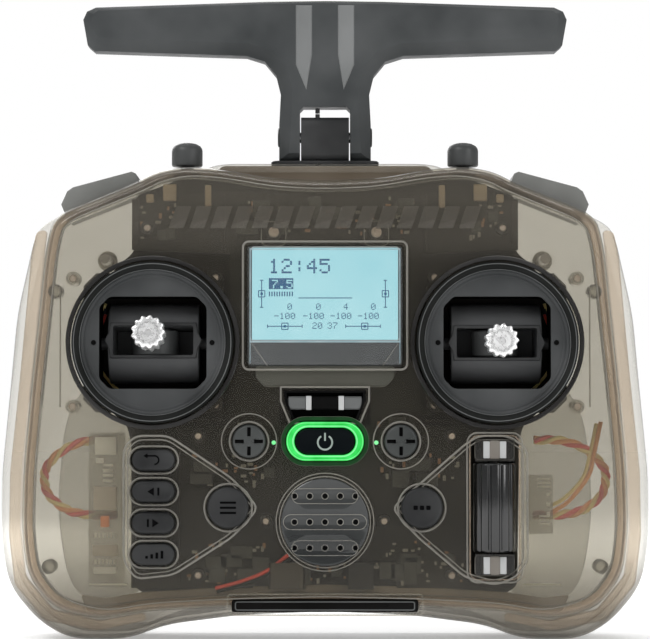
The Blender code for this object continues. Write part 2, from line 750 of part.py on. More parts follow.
def make_antenna():
    base = rounded([(HINGE_Y - 4.8, 114.9), (HINGE_Y + 4.8, 114.9), (HINGE_Y + 4.8, 125.8),
                    (HINGE_Y - 4.8, 125.8)], 2.5)
    pin_bore = turned(((1.6, -8), (1.6, 8)), (HINGE_Y, HINGE_Z), SMALL_ROUND, "X")
    cable_bore = turned(((0.9, 110), (0.9, 130)), (CABLE_X, CABLE_Y), 12, "Z")
    add(
        "antenna_base",
        prism_x(base, -5.8, 5.8),
        grey_plastic(),
        cutters=[pin_bore, cable_bore],
    )
    add(
        "antenna_hinge_pin",
        turned(((1.3, -FORK_OUTER_X), (1.3, FORK_OUTER_X)), (HINGE_Y, HINGE_Z), SMALL_ROUND, "X"),
        steel(),
    )
    half = [
        (0, 154.2), (14, 154.0), (55.6, 152.6), (57.8, 151.6), (58.7, 149.6), (57.6, 143.4),
        (56.0, 142.0), (19.0, 140.8), (14.6, 139.4), (11.8, 136.0), (10.7, 131.5),
        (FORK_OUTER_X, 124.0),
        (FORK_OUTER_X, HINGE_Z - FORK_END_R), (FORK_INNER_X, HINGE_Z - FORK_END_R),
        (FORK_INNER_X, 127.4), (5.2, 128.3), (0, 128.3),
    ]
    front, back = HINGE_Y - ARM_HALF_DEPTH, HINGE_Y + ARM_HALF_DEPTH
    r = FORK_END_R
    arc = [
        (HINGE_Y + r * math.cos(a), HINGE_Z + r * math.sin(a))
        for a in (math.radians(180 + 180 * i / 20) for i in range(21))
    ]
    corner = arc + [(HINGE_Y + 12, HINGE_Z), (HINGE_Y + 12, HINGE_Z - 12),
                    (HINGE_Y - 12, HINGE_Z - 12), (HINGE_Y - 12, HINGE_Z)]
    arm_bore = turned(((1.6, -14), (1.6, 14)), (HINGE_Y, HINGE_Z), SMALL_ROUND, "X")
    body = add_object(
        "antenna_arm", mesh_of("antenna_arm", [prism(whole(half), front, back)]), grey_plastic()
    )
    bevel(body, 1.1, 2, 50)
    with_helpers(body, [prism_x(corner, -14, 14), arm_bore], "DIFFERENCE")
    pivot("antenna_pivot", (0, HINGE_Y, HINGE_Z), [body])
    route = (
        (CABLE_X, CABLE_Y, 127.9), (CABLE_X, CABLE_Y, 122), (CABLE_X, CABLE_Y, 116),
        (CABLE_X, CABLE_Y, 110), (CABLE_X - 0.6, CABLE_Y - 1.2, 106.5),
        (CABLE_X - 2.0, CABLE_Y - 4.0, 103.5), (CABLE_X - 3.5, CABLE_Y - 6.2, 101.5),
    )
    wire("antenna_cable", route, CABLE_R, black_plastic())


def wire(name, points, radius, finish):
    """A wire through the points, as a smooth curve with closed ends."""
    curve = bpy.data.curves.new(name, "CURVE")
    curve.dimensions = "3D"
    curve.bevel_depth = radius * MM
    curve.bevel_resolution = 2
    curve.use_fill_caps = True
    spline = curve.splines.new("POLY")
    fine = smooth_route(points)
    spline.points.add(len(fine) - 1)
    for point, place in zip(spline.points, fine):
        point.co = (*(place * MM), 1.0)
    curve.materials.append(finish)
    made = bpy.data.objects.new(name, curve)
    bpy.context.scene.collection.objects.link(made)
    return made


def smooth_route(points, steps=2):
    """Points along a smooth curve through the given ones."""
    ends = [Vector(p) for p in points]
    ends = [2 * ends[0] - ends[1], *ends, 2 * ends[-1] - ends[-2]]
    fine = []
    for a, b, c, d in zip(ends, ends[1:], ends[2:], ends[3:]):
        for k in range(steps):
            t = k / steps
            fine.append(
                0.5 * (2 * b + (c - a) * t + (2 * a - 5 * b + 4 * c - d) * t * t
                       + (3 * b - a - 3 * c + d) * t ** 3)
            )
    fine.append(ends[-2])
    return fine


def make_insides():
    for z, name in zip(CELL_ZS, ("lower", "upper")):
        half = CELL_LENGTH / 2
        add(
            f"battery_cell_{name}",
            turned(
                ((CELL_R - 0.6, -half), (CELL_R, -half + 0.6), (CELL_R, half - 0.6),
                 (CELL_R - 0.6, half), (2.8, half + 0.02), (2.8, half + 1.2)),
                (CELL_Y, z),
                KEY_ROUND,
                "X",
            ),
            material("cell_wrap", (0.15, 0.32, 0.6), 0.4),
        )
    loop = (
        (-50.0, -3.6, 47.6), (-56.0, -3.6, 47.6), (-62.0, -3.0, 45.6), (-66.4, -2.2, 41.6),
        (-67.2, -2.0, 38.2), (-66.0, -2.2, 34.4), (-61.6, -3.0, 31.0), (-56.0, -3.6, 29.8),
        (-50.0, -3.6, 29.8),
    )
    finish = material("orange_wire", (0.8, 0.35, 0.08), 0.4)
    wire("wire_loom_left", loop, 1.3, finish)
    wire("wire_loom_right", [(-x, y, z) for x, y, z in loop], 1.3, finish)
    for number, (x, z) in enumerate(SCREW_PLACES, 1):
        add(
            f"case_screw_{number}",
            turned(((1.3, 12.0), (1.3, 21.9), (2.5, 22.0), (2.5, 23.2)), (x, z), 16),
            steel(),
        )


def main():
    for old in list(bpy.data.objects):
        bpy.data.objects.remove(old)
    make_front_shell()
    make_rear_shell()
    make_covers()
    make_port_cover()
    make_sockets()
    make_boards()
    make_display()
    make_lanyard_bar()
    make_keys()
    make_trims()
    make_roller()
    for side, name in zip(SIDES, SIDE_NAMES):
        make_gimbal(side, name)
    make_toggles()
    make_shoulder_buttons()
    make_rear_controls()
    make_antenna()
    make_insides()


main()
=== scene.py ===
"""Looks for the two-stick radio transmitter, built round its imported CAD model.

Lengths are in millimetres in this script and become metres when a mesh is made. The case is
clear smoke plastic, so what is inside it is built too. Each visible piece rides on a CAD body.
"""

import json
import math
import random

import bmesh
import bpy
from mathutils import Matrix, Vector


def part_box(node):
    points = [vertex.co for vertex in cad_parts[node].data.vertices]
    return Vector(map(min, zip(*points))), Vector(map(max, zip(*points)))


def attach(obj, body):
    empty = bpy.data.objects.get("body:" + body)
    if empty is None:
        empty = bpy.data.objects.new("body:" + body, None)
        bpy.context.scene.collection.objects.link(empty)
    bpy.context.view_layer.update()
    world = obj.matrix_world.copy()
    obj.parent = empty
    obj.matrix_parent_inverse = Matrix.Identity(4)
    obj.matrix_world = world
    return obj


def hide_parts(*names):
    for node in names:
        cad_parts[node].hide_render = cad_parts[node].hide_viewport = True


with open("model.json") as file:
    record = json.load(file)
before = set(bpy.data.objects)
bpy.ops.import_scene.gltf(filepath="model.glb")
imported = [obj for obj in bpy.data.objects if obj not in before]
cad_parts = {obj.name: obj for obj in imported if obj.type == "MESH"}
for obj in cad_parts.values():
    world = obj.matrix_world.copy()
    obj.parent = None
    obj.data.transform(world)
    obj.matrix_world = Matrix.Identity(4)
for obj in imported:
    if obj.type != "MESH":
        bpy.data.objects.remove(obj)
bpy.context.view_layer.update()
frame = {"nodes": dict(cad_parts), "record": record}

MM = 0.001
SIDES = (-1, 1)
BOTH = ((-1, "left"), (1, "right"))
RANDOM = random.Random(11)

# ---- places, from the frame


def node_box(node):
    """A CAD node's lowest and highest corner, in millimetres."""
    low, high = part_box(node)
    return low / MM, high / MM


BODY_OF = {
    node: body for body, nodes in frame["record"]["behaviour"]["bodies"].items() for node in nodes
}
SLOT_OF = {part["node"]: part["material_slot"] for part in frame["record"]["subparts"]}


def node_middle(node):
    low, high = node_box(node)
    return (low + high) / 2


FRONT_LOW, FRONT_HIGH = node_box("front_shell")
FACE_Y, RIM_Y = FRONT_LOW.y, FRONT_HIGH.y
BACK_Y = node_box("rear_shell")[1].y
GIMBAL = node_middle("gimbal_bezel_right")
PIVOT_Y = -1.2
HINGE = node_middle("antenna_hinge_pin")
RING = node_middle("power_light_ring")
TRIM = node_middle("trim_pad_right")
ROUND_KEY = node_middle("round_key_right")
ROLLER = node_middle("roller")
SPEAKER = node_middle("speaker")
WINDOW_LOW, WINDOW_HIGH = node_box("display_window")
PANEL_LOW, PANEL_HIGH = node_box("display_panel")
TOGGLE = node_middle("toggle_lever_right")
BOARD_Y = node_box("main_board")[0].y

# The case outlines, right half from the top centre round to the bottom centre.
MIDDLE_Z = 57.0
REAR_HALF = (
    (0, 114.5), (26, 114.5), (31, 112.3), (44.3, 109.8), (66.6, 100.9), (70.2, 98.0),
    (74.6, 78.0), (76.0, 62.0), (78.3, 38.0), (78.3, 24.0), (76.5, 13.0), (69.3, 4.4),
    (61.5, 0.0), (47.5, 0.0), (38.5, 3.5), (20.0, 5.8), (0, 6.6),
)
FRONT_HALF = (
    (0, 109.6), (13, 110.2), (24, 112.2), (33, 113.0), (40, 111.8), (45.5, 109.0),
    (64.6, 101.3), (66.6, 94.0), (69.9, 62.0), (71.8, 41.0), (72.2, 26.0), (70.8, 15.5),
    (64.5, 7.6), (54.0, 5.0), (43.0, 7.0), (24.0, 8.0), (0, 8.6),
)
CORNER_CUT = 5.0

# ---- materials


class Paint:
    """Short forms for building one node material."""

    def __init__(self, name):
        self.material = bpy.data.materials.new(name)
        self.material.use_nodes = True
        self.tree = self.material.node_tree
        self.shader = self.tree.nodes["Principled BSDF"]
        self.coords = self.tree.nodes.new("ShaderNodeTexCoord").outputs["Object"]

    def new(self, kind, **settings):
        """A node with inputs or attributes set; an input's spaces are written as underscores."""
        node = self.tree.nodes.new("ShaderNode" + kind)
        for key, value in settings.items():
            socket = key.replace("_", " ")
            if socket in node.inputs:
                node.inputs[socket].default_value = value
            else:
                setattr(node, key, value)
        return node

    def link(self, output, socket):
        """Links to a socket, or to the main shader's input of that name."""
        if isinstance(socket, str):
            socket = self.shader.inputs[socket]
        self.tree.links.new(output, socket)

    def set(self, **values):
        for key, value in values.items():
            self.shader.inputs[key.replace("_", " ")].default_value = value

    def stretched(self, scale):
        """The object's own coordinates, scaled."""
        mapping = self.new("Mapping", Scale=scale)
        self.link(self.coords, mapping.inputs["Vector"])
        return mapping.outputs["Vector"]

    def texture(self, kind, vector=None, **settings):
        node = self.new(kind, **settings)
        self.link(vector or self.coords, node.inputs["Vector"])
        return node.outputs

    def noise(self, scale, detail=4.0, stretch=None):
        vector = self.stretched(stretch) if stretch else None
        return self.texture("TexNoise", vector, Scale=scale, Detail=detail)["Fac"]

    def ramp(self, source, *stops):
        """A colour ramp; each stop is a place and a colour or a grey value."""
        node = self.new("ValToRGB")
        ramp = node.color_ramp
        while len(ramp.elements) < len(stops):
            ramp.elements.new(0.5)
        for element, (place, value) in zip(ramp.elements, stops):
            colour = value if isinstance(value, tuple) else (value,) * 3
            element.position = place
            element.color = (*colour, 1.0)
        self.link(source, node.inputs["Fac"])
        return node.outputs["Color"]

    def bump(self, source, strength, distance):
        """Relief on the main shader."""
        node = self.new("Bump", Strength=strength, Distance=distance)
        self.link(source, node.inputs["Height"])
        self.link(node.outputs["Normal"], "Normal")

    def math(self, operation, *sources):
        node = self.new("Math", operation=operation)
        for source, socket in zip(sources, node.inputs):
            self.link(source, socket)
        return node.outputs[0]


def linear(r, g, b):
    """A screen colour, 0 to 255, as linear light."""
    return tuple(
        (c / 255 / 12.92) if c / 255 <= 0.04045 else ((c / 255 + 0.055) / 1.055) ** 2.4
        for c in (r, g, b)
    )


def mixed(colour, grey, share):
    """A colour with a share of an even grey, from 0, black, to 1, white, in it."""
    return tuple(c * (1 - share) + grey * share for c in colour)


def moulded(name, colour, roughness=0.42, grain=2400.0, depth=0.08, specular=0.5, bloom=0.03):
    """Moulded plastic: fine spark-eroded grain, slight mottling with a pale bloom, uneven gloss."""
    p, colour = Paint(name), linear(*colour)
    mottle = p.ramp(p.noise(60.0, 3.0), (0.3, mixed(colour, 0, 0.12)),
                    (0.7, mixed(colour, 1, bloom)))
    p.link(mottle, "Base Color")
    gloss = p.noise(240.0, 5.0)
    p.link(p.ramp(gloss, (0.3, roughness * 0.85), (0.7, min(1.0, roughness * 1.15))), "Roughness")
    p.bump(p.noise(grain, 2.0), depth, 0.0002)
    p.set(Specular_IOR_Level=specular)
    return p.material


def rubber(name, colour, roughness=0.65):
    """Soft rubber: matt, with a fine pebble and a little dust in it."""
    p, colour = Paint(name), linear(*colour)
    dust = p.ramp(p.noise(35.0, 6.0), (0.35, mixed(colour, 0, 0.1)), (0.75, mixed(colour, 1, 0.08)))
    p.link(dust, "Base Color")
    p.bump(p.texture("TexVoronoi", Scale=1400.0)["Distance"], 0.35, 0.0002)
    p.set(Roughness=roughness, Sheen_Weight=0.02, Specular_IOR_Level=0.1)
    return p.material


def metal(name, colour, roughness=0.25, stretch=(1.0, 1.0, 1.0), depth=0.2, metallic=1.0):
    """Machined metal with fine tool marks drawn out along one direction."""
    p, colour = Paint(name), linear(*colour)
    marks = p.noise(800.0, 3.0, stretch)
    p.link(p.ramp(marks, (0.3, mixed(colour, 0, 0.18)), (0.7, colour)), "Base Color")
    p.link(p.ramp(marks, (0.3, roughness * 0.7), (0.75, roughness * 1.4)), "Roughness")
    p.bump(marks, depth, 0.0001)
    p.set(Metallic=metallic)
    return p.material


def clear_plastic(name, tint, body, haze, edge_haze, roughness=0.06, streaks=0.10, depth=0.008,
                  foot=None, milky=0.0, crown=None):
    """Tinted see-through plastic: light passes it tinted, a share is scattered, and more of it
    scatters towards the edges, where one looks through more material. Faint flow marks from
    moulding vary the scattered share. The foot is the tint at the bottom, blending into the main
    tint above it;
    milky is an extra scattered share away from the middle of the face, and crown darkens the
    plastic along the top, where the block under the antenna shades it."""
    p, tint, body = Paint(name), linear(*tint), linear(*body)
    through = p.new("BsdfTransparent", Color=(*tint, 1.0))
    if foot:
        foot = linear(*foot)
        height = p.texture("SeparateXYZ")["Z"]
        p.link(p.ramp(height, (0.0, foot), (0.004, foot), (0.02, tint)), through.inputs["Color"])
    mottle = p.noise(28.0, 3.0, (1.0, 1.0, 2.2))
    tone = p.ramp(mottle, (0.3, mixed(body, 0, 0.12)), (0.72, mixed(body, 1, 0.05)))
    if crown:
        shade = p.ramp(p.texture("SeparateXYZ")["Z"], (0.0, 1.0), (0.098, 1.0), (0.106, crown))
        dim = p.new("Mix", data_type="RGBA", blend_type="MULTIPLY", Factor=1.0)
        dim_tint = p.new("Mix", data_type="RGBA", blend_type="MULTIPLY", Factor=1.0)
        p.link(tone, dim.inputs["A"])
        dim_tint.inputs["A"].default_value = (*tint, 1.0)
        for node in (dim, dim_tint):
            p.link(shade, node.inputs["B"])
        p.link(dim_tint.outputs["Result"], through.inputs["Color"])
        tone = dim.outputs["Result"]
    p.link(tone, "Base Color")
    p.bump(p.noise(70.0, 2.0), depth, 0.001)
    p.set(Roughness=roughness, Specular_IOR_Level=0.5)
    facing = p.new("LayerWeight", Blend=0.35).outputs["Facing"]
    vary = p.new("Math", operation="MULTIPLY_ADD")
    p.link(mottle, vary.inputs[0])
    vary.inputs[1].default_value = streaks
    p.link(p.ramp(facing, (0.0, haze), (0.55, haze * 1.25), (1.0, edge_haze)), vary.inputs[2])
    scattered = vary.outputs[0]
    if milky:
        place = p.texture("SeparateXYZ")
        aside = p.ramp(p.math("ABSOLUTE", place["X"]), (0.044, 0.0), (0.052, milky),
                       (0.066, milky), (0.071, milky * 0.3))
        ends = p.ramp(place["Z"], (0.008, milky * 0.4), (0.02, 0.0), (0.09, 0.0),
                      (0.099, milky * 0.7))
        scattered = p.math("ADD", scattered, p.math("MAXIMUM", aside, ends))
    grazing = p.new("LayerWeight", Blend=0.5).outputs["Facing"]
    rising = p.ramp(grazing, (0.0, 0.008), (0.45, 0.016), (0.75, 0.06), (0.9, 0.2), (1.0, 0.48))
    gloss = p.new("BsdfGlossy", Roughness=roughness)
    blend, shine = p.new("MixShader"), p.new("MixShader")
    for node, share, first, second in ((blend, scattered, through, p.shader),
                                       (shine, rising, blend, gloss)):
        p.link(share, node.inputs["Fac"])
        p.link(first.outputs[0], node.inputs[1])
        p.link(second.outputs[0], node.inputs[2])
    p.link(shine.outputs[0], p.tree.nodes["Material Output"].inputs["Surface"])
    return p.material


def glowing(name, low, high, strength, scale=300.0):
    """A lit surface whose colour varies a little over it."""
    p = Paint(name)
    p.link(p.ramp(p.noise(scale, 3.0), (0.3, linear(*low)), (0.75, linear(*high))),
           "Emission Color")
    p.set(Base_Color=(0.006, 0.006, 0.006, 1.0), Emission_Strength=strength, Roughness=0.4,
          Specular_IOR_Level=0.1)
    return p.material


def circuit_board(name, low, high, track, via):
    """Dark solder mask with copper tracks, vias and pads showing through it."""
    p = Paint(name)
    low, high, track, via = ((*linear(*c), 1) for c in (low, high, track, via))
    flat = p.stretched((1.0, 0.0, 1.0))
    tracks = p.texture("TexBrick", flat, Scale=260.0, Color1=low, Color2=high, Mortar=track,
                       Mortar_Size=0.03)
    vias = p.texture("TexVoronoi", flat, Scale=420.0)
    mix = p.new("Mix", data_type="RGBA")
    p.link(p.ramp(vias["Distance"], (0.0, 1.0), (0.16, 0.0)), mix.inputs["Factor"])
    p.link(tracks["Color"], mix.inputs["A"])
    mix.inputs["B"].default_value = via
    p.link(mix.outputs["Result"], "Base Color")
    p.bump(tracks["Fac"], 0.1, 0.0001)
    p.set(Roughness=0.5, Specular_IOR_Level=0.12)
    return p.material


SMOKE = clear_plastic("smoke_clear", (229, 227, 221), (160, 154, 143), 0.015, 0.4, streaks=0.035,
                      milky=0.103)
SMOKE_LINE = clear_plastic("smoke_ridge", (206, 203, 196), (196, 193, 184), 0.26, 0.8)
SMOKE_RELIEF = clear_plastic("smoke_relief", (206, 202, 194), (140, 135, 126), 0.13, 0.8)
SMOKE_DEEP = clear_plastic("smoke_deep", (96, 92, 88), (40, 38, 36), 0.45, 0.7)
WALL = clear_plastic("case_wall", (244, 234, 224), (240, 222, 204), 0.2, 0.4, crown=0.45)
PALE = clear_plastic("pale_clear", (243, 242, 239), (220, 218, 211), 0.06, 0.5, streaks=0.06,
                     foot=(176, 173, 167))
CLEAR = clear_plastic("water_clear", (250, 251, 251), (225, 228, 228), 0.03, 0.5, streaks=0.03)
LIP = clear_plastic("rear_lip", (247, 240, 231), (214, 202, 188), 0.05, 0.3)
RING_GREY = clear_plastic("ring_grey", (190, 187, 180), (120, 117, 110), 0.3, 0.6)
CARRIAGE = clear_plastic("carriage_clear", (176, 174, 170), (84, 82, 78), 0.14, 0.5)
FROST = clear_plastic("frosted_clear", (232, 230, 224), (206, 202, 192), 0.22, 0.5)
SPEAKER_GREY = clear_plastic("speaker_grey", (104, 104, 103), (58, 61, 61), 0.55, 0.75,
                             streaks=0.12)
GRIP = clear_plastic("grip_rubber", (240, 239, 235), (160, 158, 151), 0.1, 0.5, roughness=0.5,
                     depth=0.1)
BLACK = moulded("black_moulded", (33, 34, 35), 0.45, specular=0.22)
GLOSS_BLACK = moulded("black_polished", (15, 15, 17), 0.2, grain=500.0, depth=0.06, specular=0.16)
WELL = moulded("well_black", (5, 5, 5), 0.8, specular=0.05, bloom=0.004)
DISH = moulded("dish_black", (56, 58, 59), 0.5, specular=0.22)
DRUM = moulded("drum_black", (70, 71, 72), 0.45, specular=0.2)
DARK = moulded("dark_inside", (30, 27, 24), 0.6, specular=0.25)
GREY = moulded("grey_moulded", (64, 66, 66), 0.44, specular=0.35)
KEY_GREY = moulded("key_grey", (27, 28, 29), 0.46, specular=0.2)
TRIM_GREY = moulded("trim_grey", (52, 55, 54), 0.4, specular=0.25)
BEZEL = moulded("bezel_black", (26, 27, 26), 0.5, specular=0.04, bloom=0.006)
POWER_BLACK = moulded("power_black", (8, 13, 16), 0.5, specular=0.04, bloom=0.001)
ROLLER_BLACK = moulded("roller_black", (14, 15, 16), 0.16, depth=0.02, specular=0.8, bloom=0.006)
PLATE = moulded("plate_grey", (78, 80, 76), 0.4, specular=0.25)
ANTENNA = moulded("antenna_plastic", (54, 57, 58), 0.5, specular=0.22)
# A lighter copy of the antenna plastic, for the facets on the arm's front: painted light.
ANTENNA_FACETS_LIT = moulded("antenna_facets_painted_light", (110, 112, 112), 0.5, specular=0.25)
SHOULDER = moulded("shoulder_plastic", (112, 113, 110), 0.45, specular=0.35)
HUB = moulded("stick_hub_grey", (84, 86, 86), 0.5, specular=0.3)
MID_GREY = moulded("mid_grey_inside", (112, 106, 98), 0.6)
CHASSIS = moulded("chassis_dark", (44, 41, 36), 0.6, specular=0.15, bloom=0.012)
BRACKET = moulded("bracket_tan", (176, 158, 134), 0.6)
SEAM = moulded("case_seam", (54, 45, 36), 0.6, specular=0.1, bloom=0.01)
TOP_BROWN = moulded("block_brown", (112, 101, 87), 0.6, specular=0.2)
CABLE = rubber("cable_black", (20, 20, 21), 0.5)
FLAP = moulded("flap_rubber", (14, 13, 12), 0.7, specular=0.06, bloom=0.004)
STEEL = metal("steel", (176, 176, 178), 0.28)
SILVER = metal("knurled_silver", (244, 244, 244), 0.3, (1.0, 12.0, 1.0), 0.25, metallic=0.7)
SCREW = metal("screw_steel", (214, 210, 202), 0.36, metallic=0.5)
ROSE = metal("rose_screw", (255, 240, 232), 0.35, metallic=0.1)
BOARD = circuit_board("circuit_board", (15, 15, 13), (21, 20, 18), (46, 44, 38), (84, 78, 62))
CHIP_GREY = moulded("chip_grey", (62, 62, 56), 0.5, bloom=0.01)
PALE_CHIP = moulded("chip_pale", (204, 192, 174), 0.5)
IVORY = moulded("connector_ivory", (236, 233, 222), 0.5)
CAPACITOR = moulded("capacitor_tan", (150, 108, 72), 0.4)
AMBER = moulded("capacitor_amber", (255, 148, 66), 0.4)
SOCKET = metal("socket_metal", (96, 92, 86), 0.4)
LEDGE = moulded("bottom_ledge", (150, 138, 124), 0.55, specular=0.2)
SOLDER = metal("board_metal", (150, 146, 136), 0.4, metallic=0.7)
RED = moulded("wire_red", (242, 92, 78), 0.45, depth=0.05, specular=0.2)
ORANGE = moulded("wire_orange", (255, 172, 98), 0.45, depth=0.05, specular=0.2)
YELLOW = moulded("wire_yellow", (255, 230, 150), 0.45, depth=0.05, specular=0.2)
BLUE_WRAP = moulded("cell_wrap", (70, 104, 158), 0.3, depth=0.05)
SCREEN = glowing("screen_light", (150, 213, 224), (182, 230, 236), 1.02, 46.0)
INK = glowing("screen_ink", (0, 88, 138), (0, 100, 150), 0.75)
GREEN = glowing("green_glow", (26, 188, 62), (64, 230, 104), 1.15)
GREEN_LINE = glowing("green_bright", (120, 246, 150), (150, 255, 175), 1.0)
# The glow that the power ring spills onto the face round it: painted light.
GREEN_HALO = glowing("green_halo", (6, 56, 18), (14, 78, 30), 0.8)
# Light along the display cover's edges: painted light.
EDGE_LIGHT = glowing("window_edge_light", (160, 190, 200), (205, 224, 230), 0.7)
WHITE_MARK = glowing("white_mark", (150, 166, 158), (190, 202, 196), 0.8)
MARK = moulded("key_mark", (4, 4, 5), 0.6, specular=0.05, bloom=0.0)
PALE_MARK = moulded("pale_mark", (176, 177, 177), 0.4)

# ---- shapes


def circle(cx, cz, r, n=64):
    angles = [math.tau * i / n for i in range(n)]
    return [(cx + r * math.cos(a), cz + r * math.sin(a)) for a in angles]


def pill(cx, cz, width, height, n=14):
    """A slot outline with half-round ends, along whichever side is longer."""
    r = min(width, height) / 2
    reach_x, reach_z = width / 2 - r, height / 2 - r
    turn = 0 if width >= height else 90
    points = []
    for side, start in ((1, -90 + turn), (-1, 90 + turn)):
        for i in range(n + 1):
            a = math.radians(start + 180 * i / n)
            points.append(
                (cx + side * reach_x + r * math.cos(a), cz + side * reach_z + r * math.sin(a))
            )
    return points


def rectangle(x0, z0, x1, z1, r=0.0, n=5):
    """A rectangle with round corners."""
    if r <= 0:
        return [(x0, z0), (x1, z0), (x1, z1), (x0, z1)]
    points = []
    for cx, cz, start in ((x1 - r, z0 + r, -90), (x1 - r, z1 - r, 0), (x0 + r, z1 - r, 90),
                          (x0 + r, z0 + r, 180)):
        for i in range(n + 1):
            a = math.radians(start + 90 * i / n)
            points.append((cx + r * math.cos(a), cz + r * math.sin(a)))
    return points


def rounded(points, cut, steps=5):
    """A closed outline with each corner replaced by a curve that starts cut away from it."""
    curve = []
    count = len(points)
    for i, corner in enumerate(points):
        here = Vector(corner)
        before, after = Vector(points[i - 1]), Vector(points[(i + 1) % count])
        start = here + (before - here) * min(0.42, cut / (before - here).length)
        end = here + (after - here) * min(0.42, cut / (after - here).length)
        for k in range(steps + 1):
            t = k / steps
            curve.append(tuple((1 - t) ** 2 * start + 2 * t * (1 - t) * here + t * t * end))
    return curve


def whole(half):
    """A closed outline from its right half, which starts and ends on the middle line."""
    return list(half) + [(-x, z) for x, z in reversed(half[1:-1])]


def offset(outline, by):
    """A closed outline moved outwards by a distance, for outlines that run anticlockwise."""
    moved = []
    count = len(outline)
    for i in range(count):
        a, b, c = Vector(outline[i - 1]), Vector(outline[i]), Vector(outline[(i + 1) % count])
        one, two = (b - a), (c - b)
        if one.length < 1e-6 or two.length < 1e-6:
            one = two = c - a
        normal = Vector((one.y, -one.x)).normalized() + Vector((two.y, -two.x)).normalized()
        normal.normalize()
        stretch = 1.0 / max(0.5, normal.dot(Vector((one.y, -one.x)).normalized()))
        moved.append(tuple(b + normal * by * stretch))
    return moved


def anticlockwise(outline):
    """The outline, turned round if it runs clockwise."""
    area = sum(a[0] * b[1] - b[0] * a[1] for a, b in zip(outline, outline[1:] + outline[:1]))
    return outline if area > 0 else list(reversed(outline))


def at_y(outline, y):
    return [(x, y, z) for x, z in outline]


def at_z(outline, z):
    return [(x, y, z) for x, y in outline]


def at_x(outline, x):
    return [(x, y, z) for y, z in outline]


def prism(outline, y0, y1):
    """An outline drawn out along y."""
    return [at_y(outline, y0), at_y(outline, y1)]


def swept(outline, profile):
    """Loops that follow an outline; the profile's points are distance outwards, y."""
    return [at_y(offset(outline, by), y) for by, y in profile]


def slab(outline, back, edge, front, inset):
    """A prism whose front edge is cut back from edge to front."""
    return swept(outline, ((0, back), (0, edge), (-inset, front)))


def oval(cx, cy, rx, ry, n=48):
    return [(cx + rx * x, cy + ry * y) for x, y in circle(0, 0, 1, n)]


def side_box(side, x0, x1, *rest):
    """A box on one side, given by its distances from the middle."""
    return box(*sorted((side * x0, side * x1)), *rest)


def soft_prism(outline, front, back, r):
    """An outline drawn out towards the back, with its front edge rounded over."""
    turns = [math.pi / 2 * k / 3 for k in range(4)]
    curve = [(-r * (1 - math.cos(a)), front + r * (1 - math.sin(a))) for a in turns]
    return swept(anticlockwise(outline), [(0, back), *curve])


def box(x0, x1, y0, y1, z0, z1):
    return prism(((x0, z0), (x1, z0), (x1, z1), (x0, z1)), y0, y1)


def turned(profile, a, b, n=64, axis="Y"):
    """A body of revolution; the profile's points are radius, place along the axis."""
    place = {"Y": at_y, "Z": at_z, "X": at_x}[axis]
    return [place(circle(a, b, max(r, 0.01), n), along) for r, along in profile]


def build(bodies, closed=False):
    """One mesh from bodies of equal loops. Closed bodies are rings, others have end caps."""
    bm = bmesh.new()
    for loops in bodies:
        rings = [[bm.verts.new(Vector(p) * MM) for p in loop] for loop in loops]
        pairs = list(zip(rings, rings[1:]))
        if closed:
            pairs.append((rings[-1], rings[0]))
        for one, two in pairs:
            for i, vert in enumerate(one):
                j = (i + 1) % len(one)
                bm.faces.new((vert, one[j], two[j], two[i]))
        if not closed:
            bm.faces.new(list(reversed(rings[0])))
            bm.faces.new(rings[-1])
    bmesh.ops.recalc_face_normals(bm, faces=bm.faces)
    return bm


def to_mesh(bm, name):
    mesh = bpy.data.meshes.new(name)
    bm.to_mesh(mesh)
    bm.free()
    return mesh


def add_object(name, data):
    obj = bpy.data.objects.new(name, data)
    bpy.context.scene.collection.objects.link(obj)
    return obj


def smooth(mesh, angle=32):
    """Smooth shading, with sharp edges where faces meet at more than the angle."""
    mesh.shade_smooth()
    mesh.set_sharp_from_angle(angle=math.radians(angle))


def boolean(obj, bodies, operation="DIFFERENCE"):
    """Cuts bodies from the object, or joins them to it, and keeps the result as its mesh.
    Bodies to cut don't touch each other, so they go as one. Where faces meet edge on, an exact
    boolean can come out empty, which stops the script."""
    helpers = []
    for group in [[body] for body in bodies] if operation == "UNION" else [bodies]:
        helper = add_object("helper", to_mesh(build(group), "helper"))
        helpers.append(helper)
        step = obj.modifiers.new("step", "BOOLEAN")
        step.operation = operation
        step.object = helper
    apply_modifiers(obj)
    if not obj.data.polygons:
        raise RuntimeError(f"nothing is left of {obj.name}")
    for helper in helpers:
        bpy.data.objects.remove(helper)


def apply_modifiers(obj):
    bpy.context.view_layer.update()
    graph = bpy.context.evaluated_depsgraph_get()
    made = bpy.data.meshes.new_from_object(obj.evaluated_get(graph))
    obj.modifiers.clear()
    obj.data = made


def piece(name, bodies, finish, body="case", closed=False, bevel=0.0, segments=2, cuts=(),
          joins=(), replaces=None, slot=None, angle=32):
    """A visible piece: its mesh, its material, and the body it rides on. A piece that stands for a
    CAD node takes that node's body. The slot argument is not used."""
    obj = add_object(name, to_mesh(build(bodies, closed), name))
    if joins:
        boolean(obj, joins, "UNION")
    if cuts:
        boolean(obj, cuts)
    if bevel:
        step = obj.modifiers.new("edge", "BEVEL")
        step.width = bevel * MM
        step.segments = segments
        step.limit_method = "ANGLE"
        step.angle_limit = math.radians(40)
        apply_modifiers(obj)
    obj.data.materials.clear()
    obj.data.materials.append(finish)
    smooth(obj.data, angle)
    if replaces:
        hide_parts(replaces)
        body, slot = BODY_OF[replaces], slot or SLOT_OF[replaces]
    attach(obj, body)
    return obj


def repaint(node, finish):
    """Gives a CAD node a finished material and smooth round surfaces."""
    obj = frame["nodes"][node]
    obj.data.materials.clear()
    obj.data.materials.append(finish)
    smooth(obj.data)


